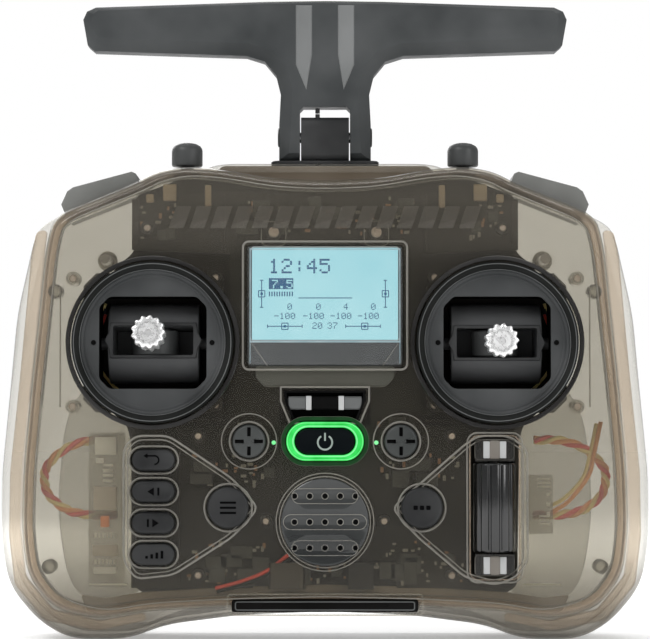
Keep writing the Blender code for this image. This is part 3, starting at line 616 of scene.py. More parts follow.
def ridge(name, outline, y_base, height, width, finish=SMOKE_LINE, body="case", r=0.15):
    """A thin raised line that follows a closed outline."""
    outline = anticlockwise(outline)
    half, top = width / 2, y_base - height
    profile = ((-half, y_base), (-half, top + r), (-half + r, top), (half - r, top),
               (half, top + r), (half, y_base))
    return piece(name, [swept(outline, profile)], finish, body, closed=True)


def tube(name, points, radius, finish, body="case"):
    """A wire through the points, smoothed, with closed ends."""
    curve = bpy.data.curves.new(name, "CURVE")
    curve.dimensions = "3D"
    curve.bevel_depth = radius * MM
    curve.bevel_resolution = 2
    curve.use_fill_caps = True
    spline = curve.splines.new("POLY")
    fine = smooth_route(points)
    spline.points.add(len(fine) - 1)
    for point, place in zip(spline.points, fine):
        point.co = (*(place * MM), 1.0)
    obj = add_object(name, curve)
    graph = bpy.context.evaluated_depsgraph_get()
    mesh = bpy.data.meshes.new_from_object(obj.evaluated_get(graph))
    bpy.data.objects.remove(obj)
    made = add_object(name, mesh)
    mesh.materials.clear()
    mesh.materials.append(finish)
    smooth(mesh, 60)
    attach(made, body)
    return made


def smooth_route(points, steps=5):
    """Points along a smooth curve through the given ones."""
    ends = [Vector(p) for p in points]
    ends = [2 * ends[0] - ends[1], *ends, 2 * ends[-1] - ends[-2]]
    fine = []
    for a, b, c, d in zip(ends, ends[1:], ends[2:], ends[3:]):
        for k in range(steps):
            t = k / steps
            fine.append(
                0.5 * (2 * b + (c - a) * t + (2 * a - 5 * b + 4 * c - d) * t * t
                       + (3 * b - a - 3 * c + d) * t ** 3)
            )
    fine.append(ends[-2])
    return fine


# ---- the case

# How a case half's outline shrinks along its depth: y, then one scale, or three: across, above the
# middle and below it.
FRONT_OUTER = (
    (RIM_Y, 1.0), (-6.0, 0.999), (-9.0, 0.996), (-10.8, 0.991), (-11.8, 0.984), (-12.6, 0.976),
    (-13.05, 0.967), (FACE_Y, 0.958),
)
FRONT_INNER = ((-11.4, 0.94), (-10.8, 0.952), (-9.8, 0.962), (RIM_Y, 0.97))
REAR_OUTER = (
    (-2.6, 0.985, 0.99, 0.988), (-1.6, 0.989, 0.992, 0.995), (0.0, 0.992, 0.993, 1.0),
    (4.0, 0.998, 0.998, 1.0), (8.0, 1.0, 1.0, 1.0), (12.0, 0.996, 0.997, 1.0),
    (15.0, 0.987, 0.988, 1.0), (17.6, 0.97, 0.975, 0.996), (20.0, 0.945, 0.955, 0.985),
    (21.6, 0.912, 0.928, 0.96), (22.45, 0.888, 0.908, 0.938), (BACK_Y, 0.865, 0.89, 0.92),
)
REAR_INNER = (
    (20.8, 0.86, 0.885, 0.915), (18.0, 0.93, 0.935, 0.955), (8.0, 0.972, 0.966, 0.965),
    (-2.6, 0.957, 0.955, 0.965),
)
GAP = 0.3
# Where the antenna's cable goes down through the mount and the case, as x, y.
LEAD = (-1.8, 2.8)
GIMBAL_X, GIMBAL_Z = GIMBAL.x, GIMBAL.z
BEZEL_R = (node_box("gimbal_bezel_right")[1].x - node_box("gimbal_bezel_right")[0].x) / 2
ROLLER_SLOT = (34.3, 15.0, 45.7, 48.6)
# The hole's corners are a little uneven, because with even ones the boolean comes out empty.
LANYARD_HOLE = (
    (-7.72, 52.4), (7.71, 52.4), (9.61, 57.03), (9.61, 59.4), (-9.62, 59.4), (-9.62, 57.03),
)
PILL_KEYS = [node_middle(f"pill_key_{number}") for number in range(1, 5)]
PILL_KEY_SIZE = (10.1, 4.9)
ROUND_KEY_R, TRIM_R = 4.85, 3.85
# The fronts of the keys, and the middle of the signs on them.
KEY_Y, SIGN_Y = -14.9, -14.84
POWER_SIZE, RING_SIZE = (13.9, 5.9), (18.3, 9.2)
# Screw bosses behind the face, right side.
BOSSES = (
    (59.8, 86.0), (26.0, 86.2), (59.8, 55.6), (25.9, 56.0), (42.2, 98.0), (30.0, 48.6),
    (30.0, 15.7),
)


def scaled(outline, across, above=None, below=None):
    """An outline scaled about the middle of the case."""
    above, below = above or across, below or across
    return [
        (x * across, MIDDLE_Z + (z - MIDDLE_Z) * (above if z > MIDDLE_Z else below))
        for x, z in outline
    ]


def hollow(name, half, outer, inner, finish, cuts, node):
    """A case half: its outer skin to the rim, then back along its inner skin."""
    outline = rounded(whole(half), CORNER_CUT, 7)
    loops = [
        at_y(scaled(outline, *scales), y)
        for rows in (outer, inner)
        for y, *scales in reversed(rows)
    ]
    # The inner rows run from the face to the rim, so turned round they go on from the rim.
    return piece(name, [loops], finish, cuts=cuts, replaces=node, angle=24)


def through_face(outline):
    """A hole of this outline through the face of the case."""
    return prism(outline, FACE_Y - 4, FACE_Y + 5)


def grown(size, by):
    """A width and a height, both made larger."""
    return size[0] + by, size[1] + by


def framed(low, high, by=0.0, r=0.0):
    """A rectangle round a node's box, moved outwards by a distance."""
    return rectangle(low.x - by, low.z - by, high.x + by, high.z + by, r)


def speaker_holes():
    """Three rows of small sound holes, with one more at each end of the middle row."""
    return [
        (3.6 * (i - (count - 1) / 2), SPEAKER.z + 6.1 * row)
        for row, count in ((-1, 5), (0, 7), (1, 5))
        for i in range(count)
    ]


def make_front():
    cuts = []
    for place, r, n in ((GIMBAL, BEZEL_R, 96), (TRIM, TRIM_R, 40), (ROUND_KEY, ROUND_KEY_R, 48)):
        cuts += [through_face(circle(side * place.x, place.z, r + GAP, n)) for side in SIDES]
    cuts += [through_face(pill(k.x, k.z, *grown(PILL_KEY_SIZE, 2 * GAP))) for k in PILL_KEYS]
    cuts.append(through_face(pill(0, RING.z, *grown(RING_SIZE, 2 * GAP), 20)))
    cuts.append(through_face(framed(WINDOW_LOW, WINDOW_HIGH, GAP, 0.8)))
    cuts.append(through_face(LANYARD_HOLE))
    cuts.append(through_face(rectangle(*ROLLER_SLOT, 1.8)))
    cuts.append(box(-22.3, 22.3, -20, -3.3, 0, 10.7))
    cuts += [through_face(circle(x, z, 0.7, 16)) for x, z in speaker_holes()]
    hollow("front_case", FRONT_HALF, FRONT_OUTER, FRONT_INNER, SMOKE, cuts, "front_shell")


def make_face_lines():
    """Raised lines, rims and recess edges moulded into the face."""
    y = FACE_Y + 0.1
    console = rounded(
        ((-47.5, 45.8), (-44.7, 48.7), (-36.9, 48.7), (-21.8, 38.6), (-15.7, 31.7), (-21.8, 24.9),
         (-35.7, 16.0), (-44.6, 15.0), (-47.4, 19.3)), 2.0)
    console_right = rounded(
        ((15.8, 31.7), (33.4, 47.0), (36.4, 48.7), (43.3, 48.7), (47.7, 45.6), (47.7, 18.8),
         (44.5, 15.2), (39.9, 13.6), (33.0, 15.4), (21.8, 24.9)), 2.0)
    for name, outline in (("left", console), ("right", console_right)):
        ridge(f"console_line_{name}", outline, y, 0.4, 0.5)
        ridge(f"console_inner_line_{name}", offset(anticlockwise(outline), -0.95), y, 0.3, 0.3)
    rims = (
        ("bezel_rim", GIMBAL, BEZEL_R + 0.9, 96, 0.5, 1.1, SMOKE_DEEP),
        ("trim_rim", TRIM, 6.5, 64, 0.35, 0.3, SMOKE_LINE),
        ("trim_lip", TRIM, TRIM_R + 0.7, 48, 0.4, 0.5, SMOKE_LINE),
        ("round_key_lip", ROUND_KEY, ROUND_KEY_R + 0.75, 56, 0.4, 0.5, SMOKE_LINE),
    )
    for side, name in BOTH:
        for what, place, r, n, *sizes in rims:
            ridge(f"{what}_{name}", circle(side * place.x, place.z, r, n), y, *sizes)
    for number, key in enumerate(PILL_KEYS, 1):
        ridge(f"pill_key_lip_{number}", pill(key.x, key.z, *grown(PILL_KEY_SIZE, 1.5)), y, 0.4,
              0.45)
    ridge("window_rim", rectangle(-19.4, 64.3, 19.4, 94.6, 1.4), y, 0.45, 0.5)
    ridge("roller_rim", rectangle(33.5, 14.2, 46.5, 49.4, 2.4), y, 0.35, 0.4)
    ridge("lanyard_rim", offset(LANYARD_HOLE, 0.8), y, 0.4, 0.45)
    ridge("power_rim", pill(0, RING.z, *grown(RING_SIZE, 2.0), 20), y, 0.4, 0.5)
    rim = anticlockwise(rounded(whole(FRONT_HALF), CORNER_CUT, 7))
    ridge("face_edge_line", scaled(rim, 0.952), y, 0.2, 0.3)
    # The dark seam, the pale wall seen through the face's edge, and the thin lip on its inside.
    ridge("case_seam", offset(rim, -0.6), -2.66, 0.3, 0.5, SEAM, r=0.05)
    ridge("case_wall", offset(rim, -1.6), -3.4, 5.2, 2.0, WALL, r=0.8)
    ridge("case_lip", offset(rim, -2.9), -4.2, 4.4, 0.25, r=0.1)
    inner = [(66.9, 98.2), (67.4, 94.0), (70.6, 62.0), (72.6, 41.0), (73.0, 26.0), (71.8, 15.0),
             (65.2, 7.0), (54.0, 4.4), (43.4, 6.3)]
    outer = [(69.3, 97.6), (70.5, 92.0), (73.2, 62.0), (75.4, 40.0), (75.6, 25.0), (74.2, 13.2),
             (67.0, 4.6), (54.2, 2.2), (42.6, 4.6)]
    for side, name in BOTH:
        lip = [(side * x, z) for x, z in inner + outer[::-1]]
        piece(f"rear_lip_{name}", [prism(rounded(lip, 1.0, 3), -2.3, 1.5)], LIP)
        piece(f"side_rib_{name}", [side_box(side, 62.5, 62.8, -11.8, -11.0, 55.5, 84.0)],
              SMOKE_LINE)
    make_slanted_bars(y)


def make_slanted_bars(y):
    """A plain row of slanted bars in relief, above the display."""
    bars = []
    for i in range(-7, 8):
        x = 4.9 * i
        bars.append(soft_prism([(x - 2.7, 97.7), (x + 0.9, 97.7), (x + 2.7, 103.0),
                                (x - 0.9, 103.0)], y - 0.45, y, 0.15))
    piece("face_relief_bars", bars, SMOKE_RELIEF)


def make_rear():
    cuts = [
        prism(framed(*node_box(cover), GAP, 1.6), 15, BACK_Y + 4)
        for cover in ("battery_door", "module_bay_cover")
    ]
    for number in range(1, 5):
        place = node_middle(f"case_screw_{number}")
        cuts.append(turned(((1.6, 10), (1.6, 21.6), (2.9, 21.6), (2.9, 26)), place.x, place.z, 32))
    for node, r in (("rear_button", 4.5), ("rear_dial", 6.0)):
        place = node_middle(node)
        cuts.append(prism(circle(place.x, place.z, r + GAP, 56), 15, 26))
    for side in SIDES:
        stem = oval(side * TOGGLE.x, TOGGLE.y, 2.3, 2.3 * 1.8, 32)
        cuts.append([at_z(stem, z) for z in (106.5, 118)])
        slot = ((0.0, -5.0), (20.2, -5.0), (20.2, 6.0), (0.0, 6.0))
        cuts.append(prism(shoulder(side, slot), -6.0, 12.3))
    cuts.append(turned(((0.9, 108), (0.9, 118)), *LEAD, 16, "Z"))
    hollow("rear_case", REAR_HALF, REAR_OUTER, REAR_INNER, PALE, cuts, "rear_shell")


def shoulder(side, points):
    """Points given along and above the sloping shoulder, turned into x, z."""
    start, end = Vector((44.3, 109.8)), Vector((66.6, 100.9))
    along = (end - start).normalized()
    above = Vector((-along.y, along.x))
    placed = [start + along * u + above * n for u, n in points]
    return [(side * p.x, p.y) for p in placed]


def make_rear_details():
    """The covers, grips, screws and controls on the back."""
    low, high = node_box("battery_door")
    grooves = [
        prism(pill(0, high.z - 5.0 - 2.2 * i, 14, 1.2), BACK_Y - 0.5, BACK_Y + 4) for i in range(3)
    ]
    ribs = [
        prism(rectangle(low.x + 6 + 9 * i, low.z + 4, low.x + 8 + 9 * i, low.z + 26, 0.9),
              BACK_Y - 0.1, BACK_Y + 4)
        for i in range(8)
    ]
    low = node_box("module_bay_cover")[0]
    vents = [
        prism(pill(0, low.z + 8.0 + 4.0 * i, 28, 1.4), BACK_Y - 0.7, BACK_Y + 4) for i in range(6)
    ]
    for name, node, cuts in (("battery_door_panel", "battery_door", grooves + ribs),
                             ("module_bay_panel", "module_bay_cover", vents)):
        low, high = node_box(node)
        panel = slab(framed(low, high, r=1.6), low.y, high.y - 0.25, high.y, 0.3)
        piece(name, [panel], BLACK, cuts=cuts, bevel=0.12, replaces=node)
    for side, name in BOTH:
        make_grip(side, name)
    for number in range(1, 5):
        low, high = node_box(f"case_screw_{number}")
        x, z = (low.x + high.x) / 2, (low.z + high.z) / 2
        slot = box(x - 1.5, x + 1.5, 22.4, 24, z - 0.28, z + 0.28)
        head = turned(((1.25, 12.0), (1.25, 21.9), (2.3, 22.0), (2.5, 22.3), (2.35, 22.9),
                       (1.7, 23.15), (0, 23.2)), x, z, 40)
        piece(f"screw_{number}", [head], SCREW, cuts=[slot], replaces=f"case_screw_{number}")
    make_back_controls()


def make_grip(side, name):
    """A palm grip with shallow grooves across it, soft at every edge."""
    outline = rounded(((43, 12), (54, 5.5), (63.5, 11), (66.5, 30), (64.5, 54), (57, 64), (49, 54),
                       (43, 32)), 9.0, 8)
    cx = sum(x for x, z in outline) / len(outline)
    cz = sum(z for x, z in outline) / len(outline)
    loops = []
    for y, scale in ((BACK_Y + GAP, 1.0), (24.6, 1.0), (26.5, 0.98), (28.4, 0.94), (30.0, 0.88),
                     (31.2, 0.81), (32.2, 0.72), (32.8, 0.6), (33.0, 0.46)):
        loops.append([(side * (cx + (x - cx) * scale), y, cz + (z - cz) * scale)
                      for x, z in outline])
    grooves = [prism(pill(side * cx, cz - 15 + 5 * i, 13, 1.1, 8), 32.0, 36) for i in range(7)]
    piece(f"grip_pad_{name}", [loops], GRIP, cuts=grooves, replaces=f"grip_{name}", angle=50)


def make_back_controls():
    button, dial = node_middle("rear_button"), node_middle("rear_dial")
    piece("rear_button_cap", [turned(((4.5, 17.0), (4.5, 24.7), (4.3, 25.3), (3.8, 25.7),
          (3.0, 25.55), (0, 25.3)), button.x, button.z, 48)], BLACK,
          replaces="rear_button")
    loops = []
    for y, scale in ((17.0, 1.0), (26.9, 1.0), (27.5, 0.97), (27.9, 0.9)):
        fluted = zip(circle(dial.x, dial.z, scale * 6.0, 72),
                     circle(dial.x, dial.z, scale * 5.65, 72))
        loops.append(at_y([pair[i % 2] for i, pair in enumerate(fluted)], y))
    piece("rear_dial_knob", [loops], BLACK,
          cuts=[box(dial.x - 0.45, dial.x + 0.45, 27.3, 29, dial.z + 1.5, dial.z + 5.0)],
          replaces="rear_dial", angle=25)
    for name, place, r in (("button", button, 5.7), ("dial", dial, 7.2)):
        band = swept(circle(place.x, place.z, r, 64), (
            (-0.8, 22.6), (-0.8, 23.3), (-0.4, 23.5), (0.4, 23.5), (0.8, 23.3), (0.8, 22.6)))
        piece(f"rear_{name}_collar", [band], PALE, closed=True)


# ---- the sticks


def make_gimbal(side, name):
    """The bezel's dish and rim, the drum with its pointed slot frame, and the stick."""
    x0, z0 = side * GIMBAL_X, GIMBAL_Z
    corners = ((-12.7, -8.5), (-10.3, -10.9), (10.3, -10.9), (12.7, -8.5), (12.7, 8.5),
               (10.3, 10.9), (-10.3, 10.9), (-12.7, 8.5))
    opening = rounded([(x0 + x, z0 + z) for x, z in corners], 0.8, 3)
    piece(f"gimbal_dish_{name}", [turned(((0, -12.5), (12.0, -12.5), (15.6, -12.6), (16.0, -12.9),
                                          (16.35, -13.5), (16.9, -13.8), (17.05, -14.4),
                                          (17.05, -11.3), (0, -11.3)), x0, z0, 96)], DISH,
          cuts=[prism(opening, -20, -5)], bevel=0.12, replaces=f"gimbal_bezel_{name}",
          slot="black_plastic", angle=20)
    rim = ((17.1, -11.3), (17.1, -14.4), (17.3, -15.0), (17.7, -15.28), (18.2, -15.3),
           (18.7, -15.1), (BEZEL_R, -14.6), (BEZEL_R, -11.3))
    piece(f"gimbal_rim_{name}", [turned(rim, x0, z0, 96)], BEZEL, closed=True, slot="gloss_black",
          angle=50)
    # Two thin raised rings on the bezel's rim, in a lighter grey than the rim: the grey is a
    # painted highlight.
    for number, (r, front) in enumerate(((18.55, -15.12), (17.2, -14.75)), 1):
        ridge(f"gimbal_highlight_ring_{name}_{number}", circle(x0, z0, r, 96), front, 0.14, 0.22, HUB, r=0.05)
    pins = [
        turned(((0.6, -12.3), (0.6, -12.75), (0.45, -12.85), (0, -12.9)), x0 + s * 14.0, z0, 20)
        for s in SIDES
    ]
    piece(f"gimbal_pins_{name}", pins, WELL)
    well = rectangle(x0 - 13.2, z0 - 11.4, x0 + 13.2, z0 + 11.4, 2.0)
    well_in = rectangle(x0 - 12.9, z0 - 11.1, x0 + 12.9, z0 + 11.1, 2.0)
    piece(f"gimbal_well_{name}", [[at_y(well, -11.3), at_y(well, 4.0), at_y(well_in, 4.0),
          at_y(well_in, -11.3)]], WELL, closed=True)
    piece(f"gimbal_well_back_{name}", [prism(well, 11.0, 11.6)], WELL)
    slot = rectangle(x0 - 9.5, z0 - 3.5, x0 + 9.5, z0 + 3.5, 0.5)
    flat = [(9.1, x0 - 10.8), (9.5, x0 - 10.6), (9.6, x0 - 10.2), (9.6, x0 + 10.2),
            (9.5, x0 + 10.6), (9.1, x0 + 10.8)]
    piece(f"gimbal_drum_{name}", [turned(flat, PIVOT_Y, z0, 96, "X")], DRUM,
          joins=[turned(((1.5, x0 - 15.7), (1.5, x0 + 15.7)), PIVOT_Y, z0, 24, "X")],
          cuts=[prism(slot, -15, PIVOT_Y + 6.4)], replaces=f"gimbal_yoke_{name}",
          slot="gloss_black", angle=30)
    corners = ((-11.6, 0), (-10.6, -1.9), (-10.2, -4.25), (10.2, -4.25), (10.6, -1.9), (11.6, 0),
               (10.6, 1.9), (10.2, 4.25), (-10.2, 4.25), (-10.6, 1.9))
    pointed = [(x0 + x, z0 + z) for x, z in corners]
    front = PIVOT_Y - 9.9
    piece(f"gimbal_slot_frame_{name}", [slab(pointed, front + 1.4, front + 0.25, front, 0.25)],
          BLACK, f"yoke_{name}", cuts=[prism(slot, -15, PIVOT_Y)], bevel=0.1)
    make_stick(side, name, x0, z0)


def star(cx, cz, r, depth, lobes):
    """A round outline with wave-shaped lobes, each of six points."""
    points = []
    for i in range(lobes * 6):
        reach = r - depth * (0.5 - 0.5 * math.cos(math.tau * i / 6))
        a = math.tau * i / (lobes * 6)
        points.append((cx + reach * math.cos(a), cz + reach * math.sin(a)))
    return points


def make_stick(side, name, x0, z0):
    """A steel shaft on its hub, with a knurled metal end in two bands."""
    hub = turned(((5.3, z0 - 3.1), (5.6, z0 - 2.8), (5.6, z0 + 2.8), (5.3, z0 + 3.1)), x0, PIVOT_Y,
                 48, "Z")
    shaft = turned(((1.7, PIVOT_Y), (1.7, -20.9)), x0, z0, 32)
    piece(f"stick_hub_{name}", [hub], HUB, f"stick_{name}")
    piece(f"stick_shaft_{name}", [shaft], STEEL, replaces=f"gimbal_stick_{name}")
    tip = node_box(f"stick_end_{name}")[0].y if side > 0 else STICK_TIP_Y
    start = tip + 10.8
    rows = (
        (start, 0.66), (start - 0.3, 0.84), (start - 0.8, 0.93), (start - 4.6, 0.93),
        (start - 4.85, 0.86), (start - 5.0, 0.78), (start - 5.8, 0.78), (start - 6.0, 0.92),
        (start - 6.25, 1.0), (tip + 0.9, 1.0), (tip + 0.5, 0.95), (tip + 0.3, 0.84),
        (tip + 0.3, 0.70), (tip + 0.75, 0.66), (tip + 0.75, 0.60), (tip + 0.05, 0.55),
        (tip + 0.05, 0.30),
    )
    loops = [at_y(star(x0, z0, 4.0 * scale, 0.55 * scale, 13), y) for y, scale in rows]
    loops += turned(((0.95, tip + 0.05), (0.85, tip + 0.9)), x0, z0, 78)
    piece(f"stick_grip_{name}", [loops], SILVER, replaces=f"stick_end_{name}", angle=28)
    if side < 0:
        for part in ("stick_hub", "gimbal_drum", "gimbal_slot_frame", "stick_shaft", "stick_grip"):
            tilt(bpy.data.objects[f"{part}_{name}"], THROTTLE_TILT, (x0, PIVOT_Y, z0))


# The throttle stick leans at rest, so its tip is not where its node's box ends.
STICK_TIP_Y = -32.0
THROTTLE_TILT = math.radians(-3.6)


def tilt(obj, angle, centre):
    """Turns a finished piece's mesh about an axis along X through the centre."""
    about = Vector(centre) * MM
    turn = Matrix.Translation(about) @ Matrix.Rotation(angle, 4, "X") @ Matrix.Translation(-about)
    obj.data.transform(turn)


# ---- the display

GLYPHS = {
    "0": "01110 10001 10011 10101 11001 10001 01110",
    "1": "00100 01100 00100 00100 00100 00100 01110",
    "2": "01110 10001 00001 00110 01000 10000 11111",
    "3": "01110 10001 00001 00110 00001 10001 01110",
    "4": "00010 00110 01010 10010 11111 00010 00010",
    "5": "11111 10000 11110 00001 00001 10001 01110",
    "7": "11111 00001 00010 00100 01000 01000 01000",
    "-": "00000 00000 00000 11111 00000 00000 00000",
    ":": "00000 00100 00100 00000 00100 00100 00000",
    ".": "00000 00000 00000 00000 00000 01100 01100",
}
SCREEN_Y, INK_DEPTH = -11.62, 0.03


def digits(text, x, z, size, y=SCREEN_Y):
    """Dot-matrix figures that start at x and hang from z, as one small block per run of dots."""
    blocks = []
    for place, mark in enumerate(text):
        if mark == " ":
            continue
        for row, dots in enumerate(GLYPHS[mark].split()):
            column = 0
            while column < len(dots):
                if dots[column] == "0":
                    column += 1
                    continue
                first = column
                while column < len(dots) and dots[column] == "1":
                    column += 1
                x0 = x + size * (6 * place + first)
                top = z - size * row
                x1 = x0 + size * (column - first) * 0.97
                blocks.append(bar(x0, x1, top - size * 0.93, top, y))
    return blocks


def bar(x0, x1, z0, z1, y=SCREEN_Y):
    """A flat block of ink."""
    return box(x0, x1, y - INK_DEPTH, y + INK_DEPTH, z0, z1)


def slider(x, z, length, upright=False, share=0.0):
    """A thin trim scale with a square marker on it."""
    half, thick, mark = length / 2, 0.11, 0.75
    blocks = []

    def add(u0, u1, v0, v1):
        """A bar given along the scale and across it, from its middle."""
        if upright:
            u0, u1, v0, v1 = v0, v1, u0, u1
        blocks.append(bar(x + u0, x + u1, z + v0, z + v1))

    add(-half, half, -thick, thick)
    at = share * half
    add(at - 0.3, at + 0.3, -0.3, 0.3)
    for s in SIDES:
        add(s * half - thick, s * half + thick, -0.4, 0.4)
        add(at - mark, at + mark, s * mark - thick, s * mark + thick)
        add(at + s * mark - thick, at + s * mark + thick, -mark, mark)
    return blocks


def make_display():
    low, high = PANEL_LOW, PANEL_HIGH
    back = framed(low, high, r=0.3)
    piece("display_back", [prism(back, low.y + 0.5, high.y)], GREY, replaces="display_panel",
          bevel=0.1)
    face = framed(low, high, -0.2, 0.3)
    piece("display_glass", [prism(face, low.y, low.y + 0.6)], SCREEN, slot="lit_display")
    ink = digits("12:45", -13.3, 90.6, 0.5)
    ink += [bar(-13.3, -7.5, 83.4, 86.0)]
    ink += [bar(-13.3 + 0.6 * i, -13.0 + 0.6 * i, 81.7, 82.8) for i in range(10)]
    ink += [bar(-6.3, 6.4, 81.2, 81.42)]
    ink += slider(-15.0, 82.3, 6.4, True) + slider(14.3, 82.3, 6.4, True)
    ink += slider(-9.5, 74.6, 8.2) + slider(9.0, 74.6, 8.2, share=0.1)
    for text, x, z in (("0", -8.9, 80.0), ("0", -2.1, 80.0), ("4", 4.4, 80.0), ("0", 10.9, 80.0),
                       ("-100", -12.0, 77.8), ("-100", -5.2, 77.8), ("-100", 1.3, 77.8),
                       ("-100", 7.8, 77.8), ("20", -3.0, 75.5), ("37", 0.6, 75.5)):
        ink += digits(text, x, z, 0.215)
    piece("display_ink", ink, INK)
    piece("display_ink_box_figures", digits("7.5", -12.6, 85.6, 0.29, SCREEN_Y - 0.04), SCREEN)
    make_window()
    plate = rounded([(-14.6, 60.4), (14.6, 60.4), (16.4, 62.4), (16.4, 65.2), (-16.4, 65.2),
                     (-16.4, 62.4)], 0.9)
    piece("display_lower_plate", [soft_prism(plate, -12.6, -11.6, 0.25)], PLATE)
    for x in (-12.2, 12.2):
        for z in (97.0, 62.7):
            corner = f"{'l' if x < 0 else 'r'}{int(z)}"
            tab = [turned(((1.25, -8.4), (1.25, -10.6), (1.05, -10.9), (0, -10.9)), x, z, 32)]
            piece(f"display_screw_{corner}", tab, ROSE,
                  cuts=[box(x - 0.9, x + 0.9, -12, -10.4, z - 0.15, z + 0.15)])
            ring = turned(((1.9, -8.2), (1.9, -10.2), (1.3, -10.2), (1.3, -8.2)), x, z, 32)
            piece(f"display_boss_{corner}", [ring], DARK, closed=True)
            up = 1 if z > 80 else -1
            ear = rounded([(x - 2.9, z - 3.4 * up), (x + 2.9, z - 3.4 * up),
                           (x + 2.9, z + 2.4 * up), (x - 2.9, z + 2.4 * up)], 1.8)
            ridge(f"display_ear_{corner}", ear, -11.3, 0.3, 0.22, r=0.05)


def make_window():
    """The clear cover stands proud of the face with a broad bevel; its lower band is smoky."""
    low, high = WINDOW_LOW, WINDOW_HIGH
    cover = swept(framed(low, high, r=0.7),
                  ((0, high.y), (0, low.y + 0.65), (-0.1, low.y + 0.45), (-0.75, low.y)))
    piece("window_cover", [cover], CLEAR, replaces="display_window", angle=15)
    band = rectangle(-18.0, 64.9, 18.0, 71.0)
    piece("window_band", [prism(band, -11.95, -11.2)], BLACK, bevel=0.1)
    line = ((17.7, 70.9), (17.45, 70.9), (13.3, 65.0), (13.6, 65.0))
    lines = [prism([(side * x, z) for x, z in line], -12.1, -11.9) for side in SIDES]
    piece("window_band_lines", lines, SMOKE_LINE)
    # Glowing strips along the cover's edges and along the top of its band: painted light on these
    # edges.
    strips = (
        (high.x - 0.75, low.z + 0.4, high.x - 0.45, high.z - 0.4, -12.0, -11.6),
        (low.x + 0.45, low.z + 0.4, low.x + 0.75, high.z - 0.4, -12.0, -11.6),
        (low.x + 0.5, high.z - 0.8, high.x - 0.5, high.z - 0.5, -12.0, -11.6),
        (low.x + 0.5, 70.75, high.x - 0.5, 71.15, -12.2, -11.9),
    )
    glow = [prism(rectangle(*strip[:4]), *strip[4:]) for strip in strips]
    piece("window_edge_glow", glow, EDGE_LIGHT)
    inner = rectangle(-17.6, 71.3, 17.6, 93.3, 0.9)
    ridge("window_gasket", offset(inner, 0.1), -11.4, 0.35, 0.22, PALE_MARK)


# ---- keys, trims, power


def cap(name, outline, front, finish, node, dish=0.12, slot=None):
    """A key cap with a soft edge, a slightly dished top and its flange behind the case wall."""
    loops = swept(anticlockwise(outline), (
        (0.7, -10.1), (0.7, -11.0), (0, -11.05), (0, front + 0.55), (-0.1, front + 0.25),
        (-0.32, front + 0.06), (-0.6, front), (-1.0, front + dish * 0.4), (-1.6, front + dish)))
    return piece(name, [loops], finish, replaces=node, slot=slot, angle=45)


def triangle(cx, cz, size, way):
    """A triangle that points right where way is 1, and left where it is -1."""
    base = cx - way * 0.6 * size
    return [(cx + way * size, cz), (base, cz + size), (base, cz - size)]


def arc_band(cx, cz, r, width, start, end):
    """A flat band along part of a circle, as an outline."""
    angles = [math.radians(start + (end - start) * i / 28) for i in range(29)]
    outer, inner = (
        [(cx + reach * math.cos(a), cz + reach * math.sin(a)) for a in angles]
        for reach in (r + width / 2, r - width / 2)
    )
    return outer + inner[::-1]


def marks(name, outlines, y, body, finish, height=0.16):
    """Small raised signs on a key."""
    piece(name, [prism(outline, y - height / 2, y + height / 2) for outline in outlines], finish,
          body)


def pill_key_sign(number, x, z):
    """Back arrow, previous, next or levels."""
    if number == 1:
        return [arc_band(x + 0.3, z, 1.0, 0.35, -90, 90),
                rectangle(x - 1.6, z + 0.82, x + 0.4, z + 1.18),
                triangle(x - 1.7, z + 1.0, 0.6, -1)]
    if number == 2:
        return [triangle(x - 0.4, z, 0.95, -1), rectangle(x + 1.0, z - 0.9, x + 1.45, z + 0.9)]
    if number == 3:
        return [triangle(x + 0.4, z, 0.95, 1), rectangle(x - 1.45, z - 0.9, x - 1.0, z + 0.9)]
    return [rectangle(x - 1.8 + 1.2 * i, z - 0.9, x - 1.2 + 1.2 * i, z - 0.3 + 0.4 * i)
            for i in range(4)]


def make_keys():
    for number, key in enumerate(PILL_KEYS, 1):
        node = f"pill_key_{number}"
        cap(f"pill_key_cap_{number}", pill(key.x, key.z, *PILL_KEY_SIZE), KEY_Y, KEY_GREY, node)
        marks(f"pill_key_sign_{number}", pill_key_sign(number, key.x, key.z), SIGN_Y, node, MARK)
    for side, name in BOTH:
        x, z = side * ROUND_KEY.x, ROUND_KEY.z
        node = f"round_key_{name}"
        cap(f"round_key_cap_{name}", circle(x, z, ROUND_KEY_R, 64), KEY_Y, KEY_GREY, node)
        if side < 0:
            outlines = [rectangle(x - 1.9, z + 1.2 * i - 0.25, x + 1.9, z + 1.2 * i + 0.25, 0.2)
                        for i in (-1, 0, 1)]
        else:
            outlines = [rectangle(x - 2.0 + 1.5 * i, z - 0.5, x - 1.0 + 1.5 * i, z + 0.5, 0.2)
                        for i in range(3)]
        marks(f"round_key_sign_{name}", outlines, SIGN_Y, node, MARK)
    make_power()
    for side, name in BOTH:
        make_trim(side, name)


